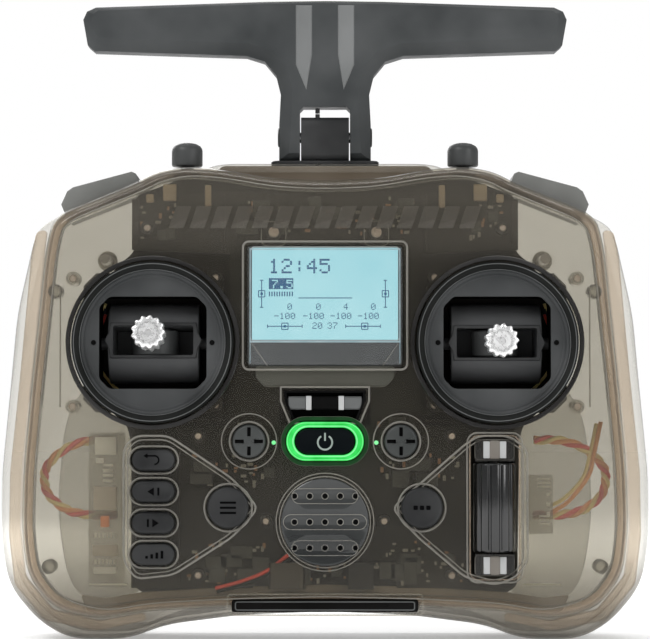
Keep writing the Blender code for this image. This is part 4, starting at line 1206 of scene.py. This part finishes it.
def make_power():
    z = RING.z
    cap("power_key_cap", pill(0, z, *POWER_SIZE, 20), -14.6, POWER_BLACK, "power_button",
        dish=0.2, slot="black_plastic")
    symbol = [arc_band(0, z - 0.25, 1.7, 0.42, 122, 418), rectangle(-0.2, z + 0.1, 0.2, z + 2.0)]
    marks("power_sign", symbol, -14.5, "power_button", WHITE_MARK, 0.2)
    outer = pill(0, z, *RING_SIZE, 20)
    inner = pill(0, z, *grown(POWER_SIZE, 2 * GAP), 20)
    middle = [((a[0] + b[0]) / 2, (a[1] + b[1]) / 2) for a, b in zip(outer, inner)]
    rise = swept(outer, ((0, -11.4), (0, -13.7), (-0.35, -14.05)))
    fall = swept(inner, ((0.3, -14.05), (0, -13.7), (0, -11.4)))
    piece("power_ring_light", [[*rise, at_y(middle, -14.2), *fall]], GREEN, closed=True,
          replaces="power_light_ring", angle=60)
    ridge("power_ring_bright", offset(inner, 0.3), -14.0, 0.28, 0.34, GREEN_LINE)
    ridge("power_ring_edge", offset(outer, -0.3), -13.9, 0.2, 0.22, GREEN_LINE)
    # A glowing band on the face round the ring: painted glow, the ring's light spilling onto the
    # plastic.
    ridge("power_ring_halo", offset(outer, 0.75), -13.42, 0.1, 0.9, GREEN_HALO, r=0.04)
    # Two small glowing dots at the inner sides of the trims: painted glow, the power ring's green
    # light falling there.
    dots = [turned(((0.5, -11.6), (0.5, -13.3), (0.35, -13.45), (0, -13.5)), s * 12.1, 47.1, 24)
            for s in SIDES]
    piece("trim_side_painted_glow", dots, GREEN_LINE, slot="green_light")


def make_trim(side, name):
    """A rocking pad with a cross of short slots, on its plate."""
    x, z, r = side * TRIM.x, TRIM.z, TRIM_R
    slots = []
    for angle in (0, 90, 180, 270):
        a = math.radians(angle)
        along, across = Vector((math.cos(a), math.sin(a))), Vector((-math.sin(a), math.cos(a)))
        middle = Vector((x, z)) + along * 2.35
        corners = ((-1.15, -0.42), (0.95, -0.42), (0.95, 0.42), (-1.15, 0.42))
        slots.append([tuple(middle + along * u + across * v) for u, v in corners])
    loops = turned(((0, -11.9), (r, -11.9), (r, -14.3), (r - 0.12, -14.55), (r - 0.4, -14.75),
                    (r - 0.8, -14.8), (0, -14.7)), x, z, 64)
    piece(f"trim_slots_{name}", [prism(slot, -14.24, -14.02) for slot in slots], WELL,
          f"trim_pad_{name}")
    piece(f"trim_cap_{name}", [loops], TRIM_GREY,
          cuts=[prism(slot, -16, -14.1) for slot in slots], bevel=0.07,
          replaces=f"trim_pad_{name}")


# ---- roller, speaker, lanyard, ports


def make_roller():
    low, high = node_box("roller")
    cx, cy = ROLLER.x, ROLLER.y
    half = 10.5
    flute = ((5.12, -0.34), (5.2, -0.2), (5.2, 0.2), (5.12, 0.34), (4.76, 0.42), (4.76, 0.58))
    points = [(reach, math.tau * (i + at) / 12) for i in range(12) for reach, at in flute]
    loops = []
    for z, scale in ((-half, 0.92), (-half + 0.4, 1.0), (half - 0.4, 1.0), (half, 0.92)):
        outline = [(cx + reach * scale * math.cos(a), cy + reach * scale * math.sin(a))
                   for reach, a in points]
        loops.append(at_z(outline, ROLLER.z + z))
    piece("roller_barrel", [loops, turned(((1.2, low.z), (1.2, high.z)), cx, cy, 24, "Z")],
          ROLLER_BLACK, bevel=0.08, replaces="roller", angle=30)
    repaint("roller_carriage", CARRIAGE)
    front = node_box("roller_carriage")[0].y
    for name, z0, z1 in (("lower", 15.8, 20.6), ("upper", 43.0, 47.8)):
        hub = turned(((2.8, z0 + 0.2), (3.0, z0 + 0.5), (3.0, z1 - 0.5), (2.8, z1 - 0.2)), cx,
                     front + 2.7, 40, "Z")
        piece(f"roller_hub_{name}", [hub], MID_GREY, "roller_carriage")
        bars = [box(cx + s * 1.95 - 0.75, cx + s * 1.95 + 0.75, front - 0.15, front + 1.5,
                    z0 + 0.4, z1 - 0.4) for s in SIDES]
        piece(f"roller_hub_bars_{name}", bars, PALE_MARK, "roller_carriage", bevel=0.15)
        plate = rounded(rectangle(cx - 4.6, z0, cx + 4.6, z1), 0.9)
        ridge(f"roller_bracket_{name}", plate, -12.2, 0.4, 0.25, body="roller_carriage", r=0.05)
        back = prism(offset(anticlockwise(plate), -0.3), -9.4, -8.8)
        piece(f"roller_pocket_{name}", [back], DARK, "roller_carriage")
    edge = rectangle(*ROLLER_SLOT, 1.8)
    ridge("roller_slot_lip", offset(edge, 0.15), FACE_Y + 0.3, 0.4, 0.3, WALL)


def make_speaker():
    """The speaker and its grille: rings round a field of small holes in round-ended recesses."""
    x, z = 0.0, SPEAKER.z
    piece("speaker_body", [turned(((0, -7.9), (6.0, -7.9), (9.8, -8.6), (9.8, -10.9),
                                   (9.2, -10.95), (8.6, -10.4), (7.6, -10.2), (6.4, -9.7),
                                   (5.2, -9.3), (4.6, -9.5), (3.4, -10.1), (1.6, -10.5),
                                   (0, -10.6)), x, z, 72)], GREY, replaces="speaker", angle=50)
    for r, height in ((11.5, 0.35), (10.7, 0.3)):
        ridge(f"speaker_ring_{int(r)}", circle(x, z, r, 96), FACE_Y + 0.1, height, 0.28)
    grille = turned(((10.3, -12.9), (10.3, -13.35), (10.1, -13.45), (0, -13.45)), x, z, 96)
    rows = [pill(0, z + 6.1 * row, width, 3.5, 12)
            for row, width in ((-1, 15.6), (0, 19.6), (1, 15.6))]
    recesses = [prism(row, -16, -13.22) for row in rows]
    near = [(hx, hz) for hx, hz in speaker_holes() if abs(hx) < 9.6]
    holes = [prism(circle(hx, hz, 0.62, 20), -16, -8) for hx, hz in near]
    boolean(piece("speaker_grille", [grille], SPEAKER_GREY, cuts=recesses, bevel=0.06, angle=25),
            holes)
    edges = [swept(anticlockwise(row), ((-0.1, -13.2), (-0.1, -13.5), (0.1, -13.5), (0.1, -13.2)))
             for row in rows]
    piece("speaker_recess_edges", edges, SMOKE_LINE, closed=True)
    rims = [turned(((0.66, -13.15), (0.66, -13.34), (0.86, -13.34), (0.86, -13.15)), hx, hz, 20)
            for hx, hz in near]
    piece("speaker_hole_rims", rims, SMOKE_LINE, closed=True)
    # Black discs inside the sound holes, in front of the speaker: painted shade in the holes.
    black = [turned(((0.6, -13.0), (0.6, -13.02)), hx, hz, 16) for hx, hz in near]
    piece("speaker_hole_painted_shade", black, WELL)


def make_lanyard():
    recess = [(x * 0.98, 55.8 + (z - 55.8) * 0.98) for x, z in LANYARD_HOLE]
    well = swept(recess, ((0, -13.1), (0, -9.4), (-0.4, -9.4), (-0.4, -13.1)))
    piece("lanyard_well", [well], WELL, closed=True)
    bar_outline = [(-12.9, 55.2), (-12.6, 54.9), (-11.5, 54.9), (-11.2, 55.2), (-11.2, 57.7),
                   (-11.5, 58.0), (-12.6, 58.0), (-13.0, 57.6)]
    ends = [[at_x(bar_outline, s * 8.6), at_x(bar_outline, s * 4.6)] for s in SIDES]
    legs = [box(s * 7.9 - 0.9, s * 7.9 + 0.9, -12.3, -9.0, 55.3, 57.6) for s in SIDES]
    piece("lanyard_ends", [*ends, *legs], HUB, bevel=0.08, replaces="lanyard_bar")
    piece("lanyard_back", [box(-10.8, 10.8, -9.2, -8.2, 51.4, 60.2)], WELL)
    middle = [at_x([(y + 0.12 * (1 if y < -12 else -1), z) for y, z in bar_outline], x)
              for x in (-3.1, 3.1)]
    piece("lanyard_grip", [middle], WELL, bevel=0.1)
    strips = [box(s * 3.85 - 0.65, s * 3.85 + 0.65, -13.1, -11.4, 54.8, 58.1) for s in SIDES]
    piece("lanyard_strips", strips, PALE_MARK, bevel=0.08)


def make_ports():
    low, high = node_box("port_cover")
    outline = rounded(rectangle(low.x, low.z, high.x, high.z - 0.3), 0.6, 4)
    flap = soft_prism(outline, low.y, high.y, 0.35)
    pull = prism(pill(0, low.z + 1.55, 30, 0.9, 8), low.y - 1, low.y + 0.25)
    # A raised line round the flap's face, in a lighter grey than the flap: the grey is a painted
    # highlight along its edge.
    line = rectangle(low.x + 0.9, low.z + 0.5, high.x - 0.9, high.z - 0.8, 0.5)
    ridge("port_flap_highlight_line", line, low.y + 0.05, 0.2, 0.28, HUB, "port_cover", r=0.05)
    piece("port_flap", [flap], FLAP, cuts=[pull], replaces="port_cover")
    ridge("port_rim", rectangle(-23.0, 6.5, 23.0, 11.4, 0.9), FACE_Y + 0.6, 0.4, 0.35, FROST)
    repaint("usb_port", SOCKET)
    repaint("audio_jack", BLACK)


# ---- antenna, toggles, shoulders


def make_antenna():
    hinge_y, hinge_z = HINGE.y, HINGE.z
    front, back = hinge_y - 4.5, hinge_y + 4.5
    half = [
        (0, 154.2), (14, 154.0), (55.6, 152.6), (57.8, 151.6), (58.7, 149.6), (57.6, 143.4),
        (56.0, 142.0), (19.0, 140.8), (14.6, 139.4), (11.8, 136.0), (10.7, 131.5), (11.1, 124.0),
        (11.1, hinge_z - 6.1), (6.1, hinge_z - 6.1), (6.1, 127.4), (5.2, 128.3), (0, 128.3),
    ]
    face_half = [
        (0, 153.4), (14, 153.2), (54.9, 151.6), (56.2, 150.8), (56.6, 149.4), (55.6, 146.0),
        (54.4, 145.0), (18.4, 143.6), (12.6, 141.6), (9.4, 138.0), (7.9, 132.4), (8.2, 124.0),
        (8.9, hinge_z - 6.1), (6.1, hinge_z - 6.1), (6.1, 127.4), (5.2, 128.3), (0, 128.3),
    ]
    outline = anticlockwise(whole(half))
    loops = swept(outline, ((-0.9, back), (0, back - 0.9), (0, front + 2.0)))
    loops.append(at_y(anticlockwise(whole(face_half)), front))
    r = 6.1
    arc = [(hinge_y + r * math.cos(a), hinge_z + r * math.sin(a))
           for a in (math.radians(180 + 180 * i / 40) for i in range(41))]
    corner = arc + [(hinge_y + 12, hinge_z), (hinge_y + 12, hinge_z - 12),
                    (hinge_y - 12, hinge_z - 12), (hinge_y - 12, hinge_z)]
    bore = turned(((1.6, -14), (1.6, 14)), hinge_y, hinge_z, 32, "X")
    arm = piece("antenna_wing", [loops], ANTENNA, replaces="antenna_arm")
    boolean(arm, [[at_x(corner, -14), at_x(corner, 14)]])
    boolean(arm, [bore])
    step = arm.modifiers.new("edge", "BEVEL")
    step.width, step.segments, step.limit_method = 0.28 * MM, 2, "ANGLE"
    step.angle_limit = math.radians(28)
    apply_modifiers(arm)
    smooth(arm.data, 30)
    make_antenna_trim(front)
    washers = [
        turned(((2.3, s * 11.12), (2.3, s * 11.3), (1.9, s * 11.45)), hinge_y, hinge_z, 40, "X")
        for s in SIDES
    ]
    piece("antenna_pin_caps", washers, GLOSS_BLACK)
    repaint("antenna_hinge_pin", STEEL)
    lead_x, lead_y = LEAD
    lead_hole = turned(((0.9, 110), (0.9, 130)), lead_x, lead_y, 24, "Z")
    base = rounded(rectangle(hinge_y - 4.8, 114.9, hinge_y + 4.8, 125.8), 2.5, 6)
    piece("antenna_mount", [[at_x(base, -5.8), at_x(base, 5.8)]], BLACK, bevel=0.35, segments=3,
          cuts=[bore, lead_hole], replaces="antenna_base")
    foot = rectangle(-13.0, hinge_y - 6.0, 13.0, hinge_y + 6.0, 2.4)
    piece("antenna_foot", [[at_z(foot, 114.3), at_z(foot, 114.75),
                            at_z(offset(foot, -0.3), 115.0)]], BLACK, cuts=[lead_hole])
    tube("antenna_lead_end", [(*LEAD, z) for z in (127.9, 127.3, 126.7)], 0.55, CABLE, "antenna")
    route = [(*LEAD, z) for z in (126.5, 122, 116, 110)]
    route += [(-2.4, 1.6, 106.5), (-3.8, -1.2, 103.5), (-5.3, -3.4, 101.5)]
    tube("antenna_lead", route, 0.55, CABLE)
    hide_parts("antenna_cable")


def make_antenna_trim(front):
    """Two tapering facets down the front of the arm, between the wings and the middle, in a lighter
    copy of the arm's plastic: painted light, as on facets that catch the light.
    """
    for side, name in BOTH:
        shape = anticlockwise([(side * 3.1, 152.9), (side * 7.1, 152.9), (side * 7.1, 138.4),
                               (side * 4.5, 132.2), (side * 3.1, 140.9)])
        piece(f"antenna_facet_{name}", [slab(shape, front + 0.4, front, front - 0.25, 0.3)],
              ANTENNA_FACETS_LIT, "antenna", bevel=0.08)


def make_toggles():
    for side, name in BOTH:
        x, y = side * TOGGLE.x, TOGGLE.y
        lever = turned(
            ((1.5, 106.9), (1.6, 114.1), (3.4, 114.2), (3.65, 114.35), (3.75, 114.6), (3.75, 118.0),
             (3.62, 118.6), (3.2, 119.2), (2.2, 119.75), (1.2, 119.96), (0, 120.0)), x, y, 48, "Z")
        piece(f"toggle_cap_{name}", [lever], GREY, replaces=f"toggle_lever_{name}", angle=40)
        rings = ((3.3, 1.55, 110.4), (3.3, 1.55, 112.7), (3.3 * 0.93, 1.55, 113.0),
                 (2.3, 1.8, 113.0), (2.3, 1.8, 110.4))
        collar = [at_z(oval(x, y, r, r * stretch), z) for r, stretch, z in rings]
        piece(f"toggle_collar_{name}", [collar], GREY, closed=True)
        repaint(f"toggle_switch_{name}", STEEL)


def make_shoulders():
    profile = (
        (0.4, -2.6), (19.8, -2.6), (19.8, 1.9), (17.3, 4.3), (15.6, 4.7), (1.2, 3.0), (0.4, 2.2),
    )
    for side, name in BOTH:
        outline = anticlockwise(shoulder(side, profile))
        ribs = []
        for i in range(5):
            u = 5.0 + 1.6 * i
            cut = shoulder(side, ((u, 2.6 + 0.118 * (u - 1.2)), (u + 0.5, 2.6 + 0.118 * (u - 0.7)),
                                  (u + 0.5, 8), (u, 8)))
            ribs.append(prism(cut, 0.8, 10.8))
        piece(f"shoulder_pad_{name}", [prism(outline, -2.4, 12.0)], SHOULDER,
              cuts=ribs, bevel=0.35, segments=3, replaces=f"shoulder_button_{name}")


# ---- inside the case


def make_inside():
    """Everything that shows through the smoke plastic."""
    repaint("main_board", BOARD)
    repaint("module_bay", BLACK)
    for name in ("lower", "upper"):
        repaint(f"battery_cell_{name}", BLUE_WRAP)
    for _, name in BOTH:
        repaint(f"gimbal_frame_{name}", CHASSIS)
    make_middle_frame()
    make_bosses()
    make_board_parts()
    make_looms()


def make_middle_frame():
    """The dark chassis plate behind the board, with its ribs, and the block under the antenna."""
    half = [(0, 109.0), (24, 110.4), (34, 110.2), (45.0, 106.2), (45.0, 94.2), (46.4, 91.8),
            (49.4, 89.6), (51.6, 86.0), (51.6, 55.0), (47.2, 51.0), (46.2, 47.0), (45.8, 13.0),
            (42.0, 10.6), (24.0, 9.6), (0, 9.9)]
    outline = anticlockwise(rounded(whole(half), 1.2, 3))
    wells = [prism(rectangle(s * GIMBAL_X - 13.3, GIMBAL_Z - 11.5, s * GIMBAL_X + 13.3,
                             GIMBAL_Z + 11.5, 2.0), -8, 2) for s in SIDES]
    piece("chassis_plate", [soft_prism(outline, -5.6, -4.2, 0.3)], CHASSIS, cuts=wells)
    ribs = []
    for side in SIDES:
        for z0, z1, x in ((14, 50, 34.6), (14, 50, 45.2), (94.5, 105.5, 44.6)):
            ribs.append(box(side * x - 0.3, side * x + 0.3, -8.2, -5.2, z0, z1))
        ribs.append(box(side * 24 - 0.3, side * 24 + 0.3, -9.4, -5.2, 92.5, 106))
        ribs.append(side_box(side, 24, 45, -8.6, -5.2, 52.0, 52.6))
    piece("chassis_ribs", ribs, CHASSIS, bevel=0.12)
    block = rounded([(-27.5, 104.0), (27.5, 104.0), (27.5, 110.6), (24.8, 113.6), (-24.8, 113.6),
                     (-27.5, 110.6)], 1.0, 3)
    piece("antenna_block", [soft_prism(block, -1.4, 15.0, 0.4)], TOP_BROWN)
    patches = []
    for side in SIDES:
        for x0, x1, z0, z1 in ((35.4, 38.6, 104.6, 108.6), (27.1, 28.6, 103.0, 108.4),
                               (40.8, 42.6, 104.2, 106.2)):
            patches.append(side_box(side, x0, x1, -8.4, -7.2, z0, z1))
    piece("switch_brackets", patches, BRACKET, bevel=0.3, segments=3)
    ledge = whole([(0, 13.4), (24.0, 12.8), (43.0, 11.6), (52.0, 10.2), (58.0, 11.0), (56.5, 7.2),
                   (53.5, 6.4), (43.0, 8.2), (24.0, 9.2), (0, 9.8)])
    piece("bottom_ledge", [soft_prism(rounded(ledge, 0.6, 2), -7.4, -6.2, 0.3)], LEDGE)


def make_bosses():
    """Screw posts behind the face, a collar round a bright screw, and pegs near the case's edge."""
    collars, pale_collars, screws, rings, pegs = [], [], [], [], []
    places = [(side * x, z) for side in SIDES for x, z in BOSSES] + [(-14, 28.5), (14, 28.5)]
    for x, z in places:
        ring = turned(((1.75, -5.6), (1.6, -11.1), (0.95, -11.1), (0.95, -5.6)), x, z, 32)
        (pale_collars if abs(x) > 50 else collars).append(ring)
        screws.append(turned(((0.9, -5.0), (0.9, -10.3), (0.7, -10.6), (0, -10.6)), x, z, 24))
    piece("screw_posts", collars, DARK, closed=True)
    piece("screw_posts_outer", pale_collars, FROST, closed=True)
    piece("screw_tips", screws, ROSE)
    for x, z in ((63.9, 82.9), (65.2, 17.8)):
        for side in SIDES:
            rings.append(turned(((1.7, -6.0), (1.7, -11.2), (1.25, -11.2), (1.25, -6.0)), side * x,
                                z, 32))
            pegs.append(turned(((1.2, -6.2), (1.2, -10.9), (0.9, -11.1), (0, -11.1)), side * x, z,
                               24))
    piece("case_peg_rings", rings, RING_GREY, closed=True)
    piece("case_pegs", pegs, FROST)


# Zones of the board where parts sit: x from and to, z from and to. Sizes are width, height and
# thickness.
PART_ZONES = (
    (-21.5, 21.5, 96.5, 106.0), (-33, 33, 13.2, 19.0), (-44.5, -34.0, 93.5, 104.0),
    (34.0, 44.5, 93.5, 104.0), (-32.5, -11.5, 36.0, 44.5), (11.5, 32.5, 36.0, 44.5),
    (-21.0, 21.0, 50.8, 52.0), (-33.0, -12.5, 14.0, 24.0), (12.5, 32.0, 14.0, 24.0),
)
SMALL_PARTS = ((0.9, 0.5, 0.4), (1.3, 0.7, 0.5), (0.6, 0.6, 0.3))
LARGE_PARTS = ((4.0, 4.0, 0.9), (3.0, 5.2, 1.0), (2.4, 2.4, 0.8))
PART_GRID = 0.4


def scatter(x0, x1, z0, z1, count, sizes):
    """Small parts on a loose grid on the board, in one zone of it."""
    blocks = []
    for _ in range(count):
        w, h, thick = RANDOM.choice(sizes)
        if RANDOM.random() < 0.5:
            w, h = h, w
        x = round(RANDOM.uniform(x0, x1 - w) / PART_GRID) * PART_GRID
        z = round(RANDOM.uniform(z0, z1 - h) / PART_GRID) * PART_GRID
        blocks.append(box(x, x + w, BOARD_Y - thick, BOARD_Y + 0.1, z, z + h))
    return blocks


def make_board_parts():
    """Chips, connectors and small parts on the boards."""
    tan, dark, silver = [], [], []
    for zone in PART_ZONES:
        x0, x1, z0, z1 = zone
        area = (x1 - x0) * (z1 - z0)
        tan += scatter(*zone, int(area / 20), SMALL_PARTS)
        silver += scatter(*zone, int(area / 13), SMALL_PARTS)
        dark += scatter(*zone, max(1, int(area / 42)), LARGE_PARTS)
    piece("board_parts_tan", tan, CAPACITOR)
    piece("board_parts_metal", silver, SOLDER)
    piece("board_chips", dark, CHIP_GREY, bevel=0.12)
    make_side_boards()


def make_side_boards():
    """The narrow clear board beside the keys, with its connectors, and the small one opposite."""
    y = -6.6
    piece("side_board_left", [prism(rectangle(-56.2, 12.8, -47.6, 49.5, 0.5), y, y + 1.0)], FROST)
    piece("side_board_chips", [box(-55.0, -49.5, y - 1.0, y, 31.1, 36.6)], PALE_CHIP, bevel=0.2)
    white = [box(-52.8, -50.4, y - 0.7, y, 37.7 + 1.25 * i, 38.3 + 1.25 * i) for i in range(4)]
    white += [box(-54.7, -49.6, y - 1.6, y, 44.2, 48.4), box(-55.0, -49.5, y - 1.2, y, 16.0, 17.6),
              box(-54.4, -52.6, y - 1.2, y, 42.2, 43.4)]
    piece("side_board_connectors", white, IVORY, bevel=0.15)
    pins = [box(-54.8 + 0.9 * i, -54.3 + 0.9 * i, y - 0.5, y, 18.2 + 6.2 * k, 19.4 + 6.2 * k)
            for i in range(6) for k in (0, 1)]
    piece("side_board_pins", pins, IVORY)
    piece("side_board_block", [box(-55.2, -49.2, y - 0.9, y, 20.2, 22.8)], PALE_CHIP, bevel=0.2)
    piece("side_board_capacitor", [box(-53.3, -51.2, y - 1.4, y, 27.0, 29.7)], AMBER, bevel=0.3)
    piece("side_board_right", [prism(rectangle(47.9, 25.4, 54.2, 39.4, 0.4), y, y + 0.9)], FROST)
    small = [box(50.6, 53.6, y - 0.5, y, 36.4 + 0.9 * i, 36.8 + 0.9 * i) for i in range(3)]
    small += [box(50.9, 53.4, y - 0.5, y, 27.6 + 0.9 * i, 28.0 + 0.9 * i) for i in range(3)]
    small += [box(52.7, 53.5, y - 0.6, y, z, z + 0.8) for z in (34.4, 32.0, 29.8)]
    piece("side_board_right_parts", small, IVORY)
    lines = [side_box(side, 47.0, 56.0, y - 0.3, y, 13.2, 13.6) for side in SIDES]
    piece("side_board_edges", lines, IVORY)


def twisted(name, route, spread, turns, strands):
    """Wires wound loosely round one route; each strand is its radius and its colour."""
    fine = smooth_route(route, 12)
    made = []
    for number, (radius, finish) in enumerate(strands):
        points = []
        for i, here in enumerate(fine):
            ahead = fine[min(i + 1, len(fine) - 1)] - fine[max(i - 1, 0)]
            side = ahead.cross(Vector((0, 1, 0))).normalized()
            up = Vector((0, 1, 0))
            a = math.tau * (turns * i / len(fine) + number / len(strands))
            points.append(here + (side * math.cos(a) + up * math.sin(a)) * spread)
        made.append(tube(f"{name}_{number + 1}", points[::3] + [points[-1]], radius, finish))
    return made


LOOSE_WIRES = (
    ("speaker_wire_red", RED, 0.45,
     ((-8.6, -9.0, 20.6), (-14.0, -8.8, 16.6), (-20.0, -8.8, 14.2), (-26.0, -8.6, 12.6))),
    ("speaker_wire_black", CABLE, 0.45,
     ((-8.0, -9.0, 19.8), (-13.6, -8.9, 15.6), (-20.0, -8.9, 13.2), (-25.6, -8.6, 11.8))),
    ("right_wire_orange", ORANGE, 0.5,
     ((66.0, -3.0, 52.0), (64.2, -4.0, 44.0), (62.8, -4.6, 39.0), (58.0, -5.0, 33.0),
      (54.0, -5.2, 30.6))),
    ("right_wire_yellow", YELLOW, 0.5,
     ((65.0, -2.6, 51.6), (63.2, -3.6, 43.6), (61.4, -4.4, 38.4), (57.0, -5.0, 33.8),
      (53.6, -5.2, 32.0))),
)


def make_looms():
    loop = (
        (-50.0, -3.6, 47.6), (-56.0, -3.6, 47.6), (-62.0, -3.0, 45.6), (-66.4, -2.2, 41.6),
        (-67.2, -2.0, 38.2), (-66.0, -2.2, 34.4), (-61.6, -3.0, 31.0), (-56.0, -3.6, 29.8),
        (-50.0, -3.6, 29.8),
    )
    strands = ((0.55, ORANGE), (0.55, YELLOW), (0.55, RED))
    for sign, name in ((1, "left"), (-1, "right")):
        route = [(sign * x, y, z) for x, y, z in loop]
        made = twisted(f"loom_{name}", route, 0.62, 5.0, strands)
        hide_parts(f"wire_loom_{name}")
    for name, finish, radius, route in LOOSE_WIRES:
        tube(name, route, radius, finish)
    for side, name in BOTH:
        for number, (dz, finish) in enumerate(((0.0, RED), (1.3, CABLE), (2.6, YELLOW))):
            route = ((53.0, 3.0, 78.0), (55.0, 4.0, 72.0), (55.0, 4.0, 64.0), (51.0, 3.0, 58.0),
                     (44.0, 1.0, 53.0))
            tube(f"gimbal_wire_{name}_{number + 1}", [(side * x, y, z + dz) for x, y, z in route],
                 0.4, finish)


# ---- studio

FLOOR_RADIUS = 6000.0
LIGHTS = (
    ("key", (-520, -560, 760), (520, 420), 4.6),
    ("fill", (620, -620, 380), (420, 520), 2.4),
    ("top", (0, 120, 900), (900, 320), 3.4),
    ("back", (-300, 700, 420), (600, 360), 2.0),
)
SEEN_WHITE, SOFT_LIGHT = 1.0, 0.34
AIM = (0, 0, 70)
CAMERA_PLACE, CAMERA_TILT, CAMERA_LENS = (0, -700, 50), 2.18, 161.2


def floor_finish():
    """A pale matt floor that grows lighter with distance, so that it meets the white behind it."""
    p = Paint("floor_pale")
    pale, paler = linear(246, 246, 246), linear(250, 250, 250)
    p.link(p.ramp(p.noise(9.0, 4.0), (0.3, pale), (0.7, paler)), "Base Color")
    p.bump(p.noise(60.0, 3.0), 0.05, 0.001)
    away = p.new("VectorMath", operation="LENGTH")
    p.link(p.coords, away.inputs[0])
    p.link(p.ramp(away.outputs["Value"], (0.1, 0.30), (0.75, 0.66)), "Emission Color")
    p.set(Roughness=0.85, Specular_IOR_Level=0.1, Emission_Strength=1.0)
    return p.material


def make_world(scene):
    """White behind the object, and a dimmer even light on it, as from large diffusers."""
    world = bpy.data.worlds.new("studio")
    scene.world = world
    world.use_nodes = True
    tree = world.node_tree
    seen = tree.nodes["Background"]
    seen.inputs["Color"].default_value = (1.0, 1.0, 1.0, 1.0)
    seen.inputs["Strength"].default_value = SEEN_WHITE
    soft = tree.nodes.new("ShaderNodeBackground")
    soft.inputs["Color"].default_value = (1.0, 1.0, 1.0, 1.0)
    soft.inputs["Strength"].default_value = SOFT_LIGHT
    path = tree.nodes.new("ShaderNodeLightPath")
    mix = tree.nodes.new("ShaderNodeMixShader")
    tree.links.new(path.outputs["Is Camera Ray"], mix.inputs["Fac"])
    tree.links.new(soft.outputs["Background"], mix.inputs[1])
    tree.links.new(seen.outputs["Background"], mix.inputs[2])
    tree.links.new(mix.outputs["Shader"], tree.nodes["World Output"].inputs["Surface"])


def make_studio():
    scene = bpy.context.scene
    disc = circle(0, 0, FLOOR_RADIUS, 96)
    floor = add_object("floor", to_mesh(build([[at_z(disc, -0.4), at_z(disc, -0.05)]]), "floor"))
    floor.data.materials.append(floor_finish())
    make_world(scene)
    for name, place, size, energy in LIGHTS:
        light = bpy.data.lights.new(name, "AREA")
        light.shape = "RECTANGLE"
        light.size, light.size_y = size[0] * MM, size[1] * MM
        light.energy = energy
        obj = add_object(name, light)
        obj.location = Vector(place) * MM
        aim = Vector(AIM) - Vector(place)
        obj.rotation_euler = aim.to_track_quat("-Z", "Y").to_euler()
    camera = bpy.data.cameras.new("camera")
    camera.lens, camera.sensor_width = CAMERA_LENS, 36.0
    camera.clip_start, camera.clip_end = 0.02, 30.0
    obj = add_object("camera", camera)
    obj.location = Vector(CAMERA_PLACE) * MM
    obj.rotation_euler = (math.radians(90 + CAMERA_TILT), 0, 0)
    scene.camera = obj
    scene.view_settings.view_transform = "Standard"


def main():
    make_studio()
    make_front()
    make_face_lines()
    make_rear()
    make_rear_details()
    for side, name in BOTH:
        make_gimbal(side, name)
    make_display()
    make_keys()
    make_roller()
    make_speaker()
    make_lanyard()
    make_ports()
    make_antenna()
    make_toggles()
    make_shoulders()
    make_inside()
    for side, name in BOTH:
        repaint(f"trim_plate_{name}", BLACK)


main()
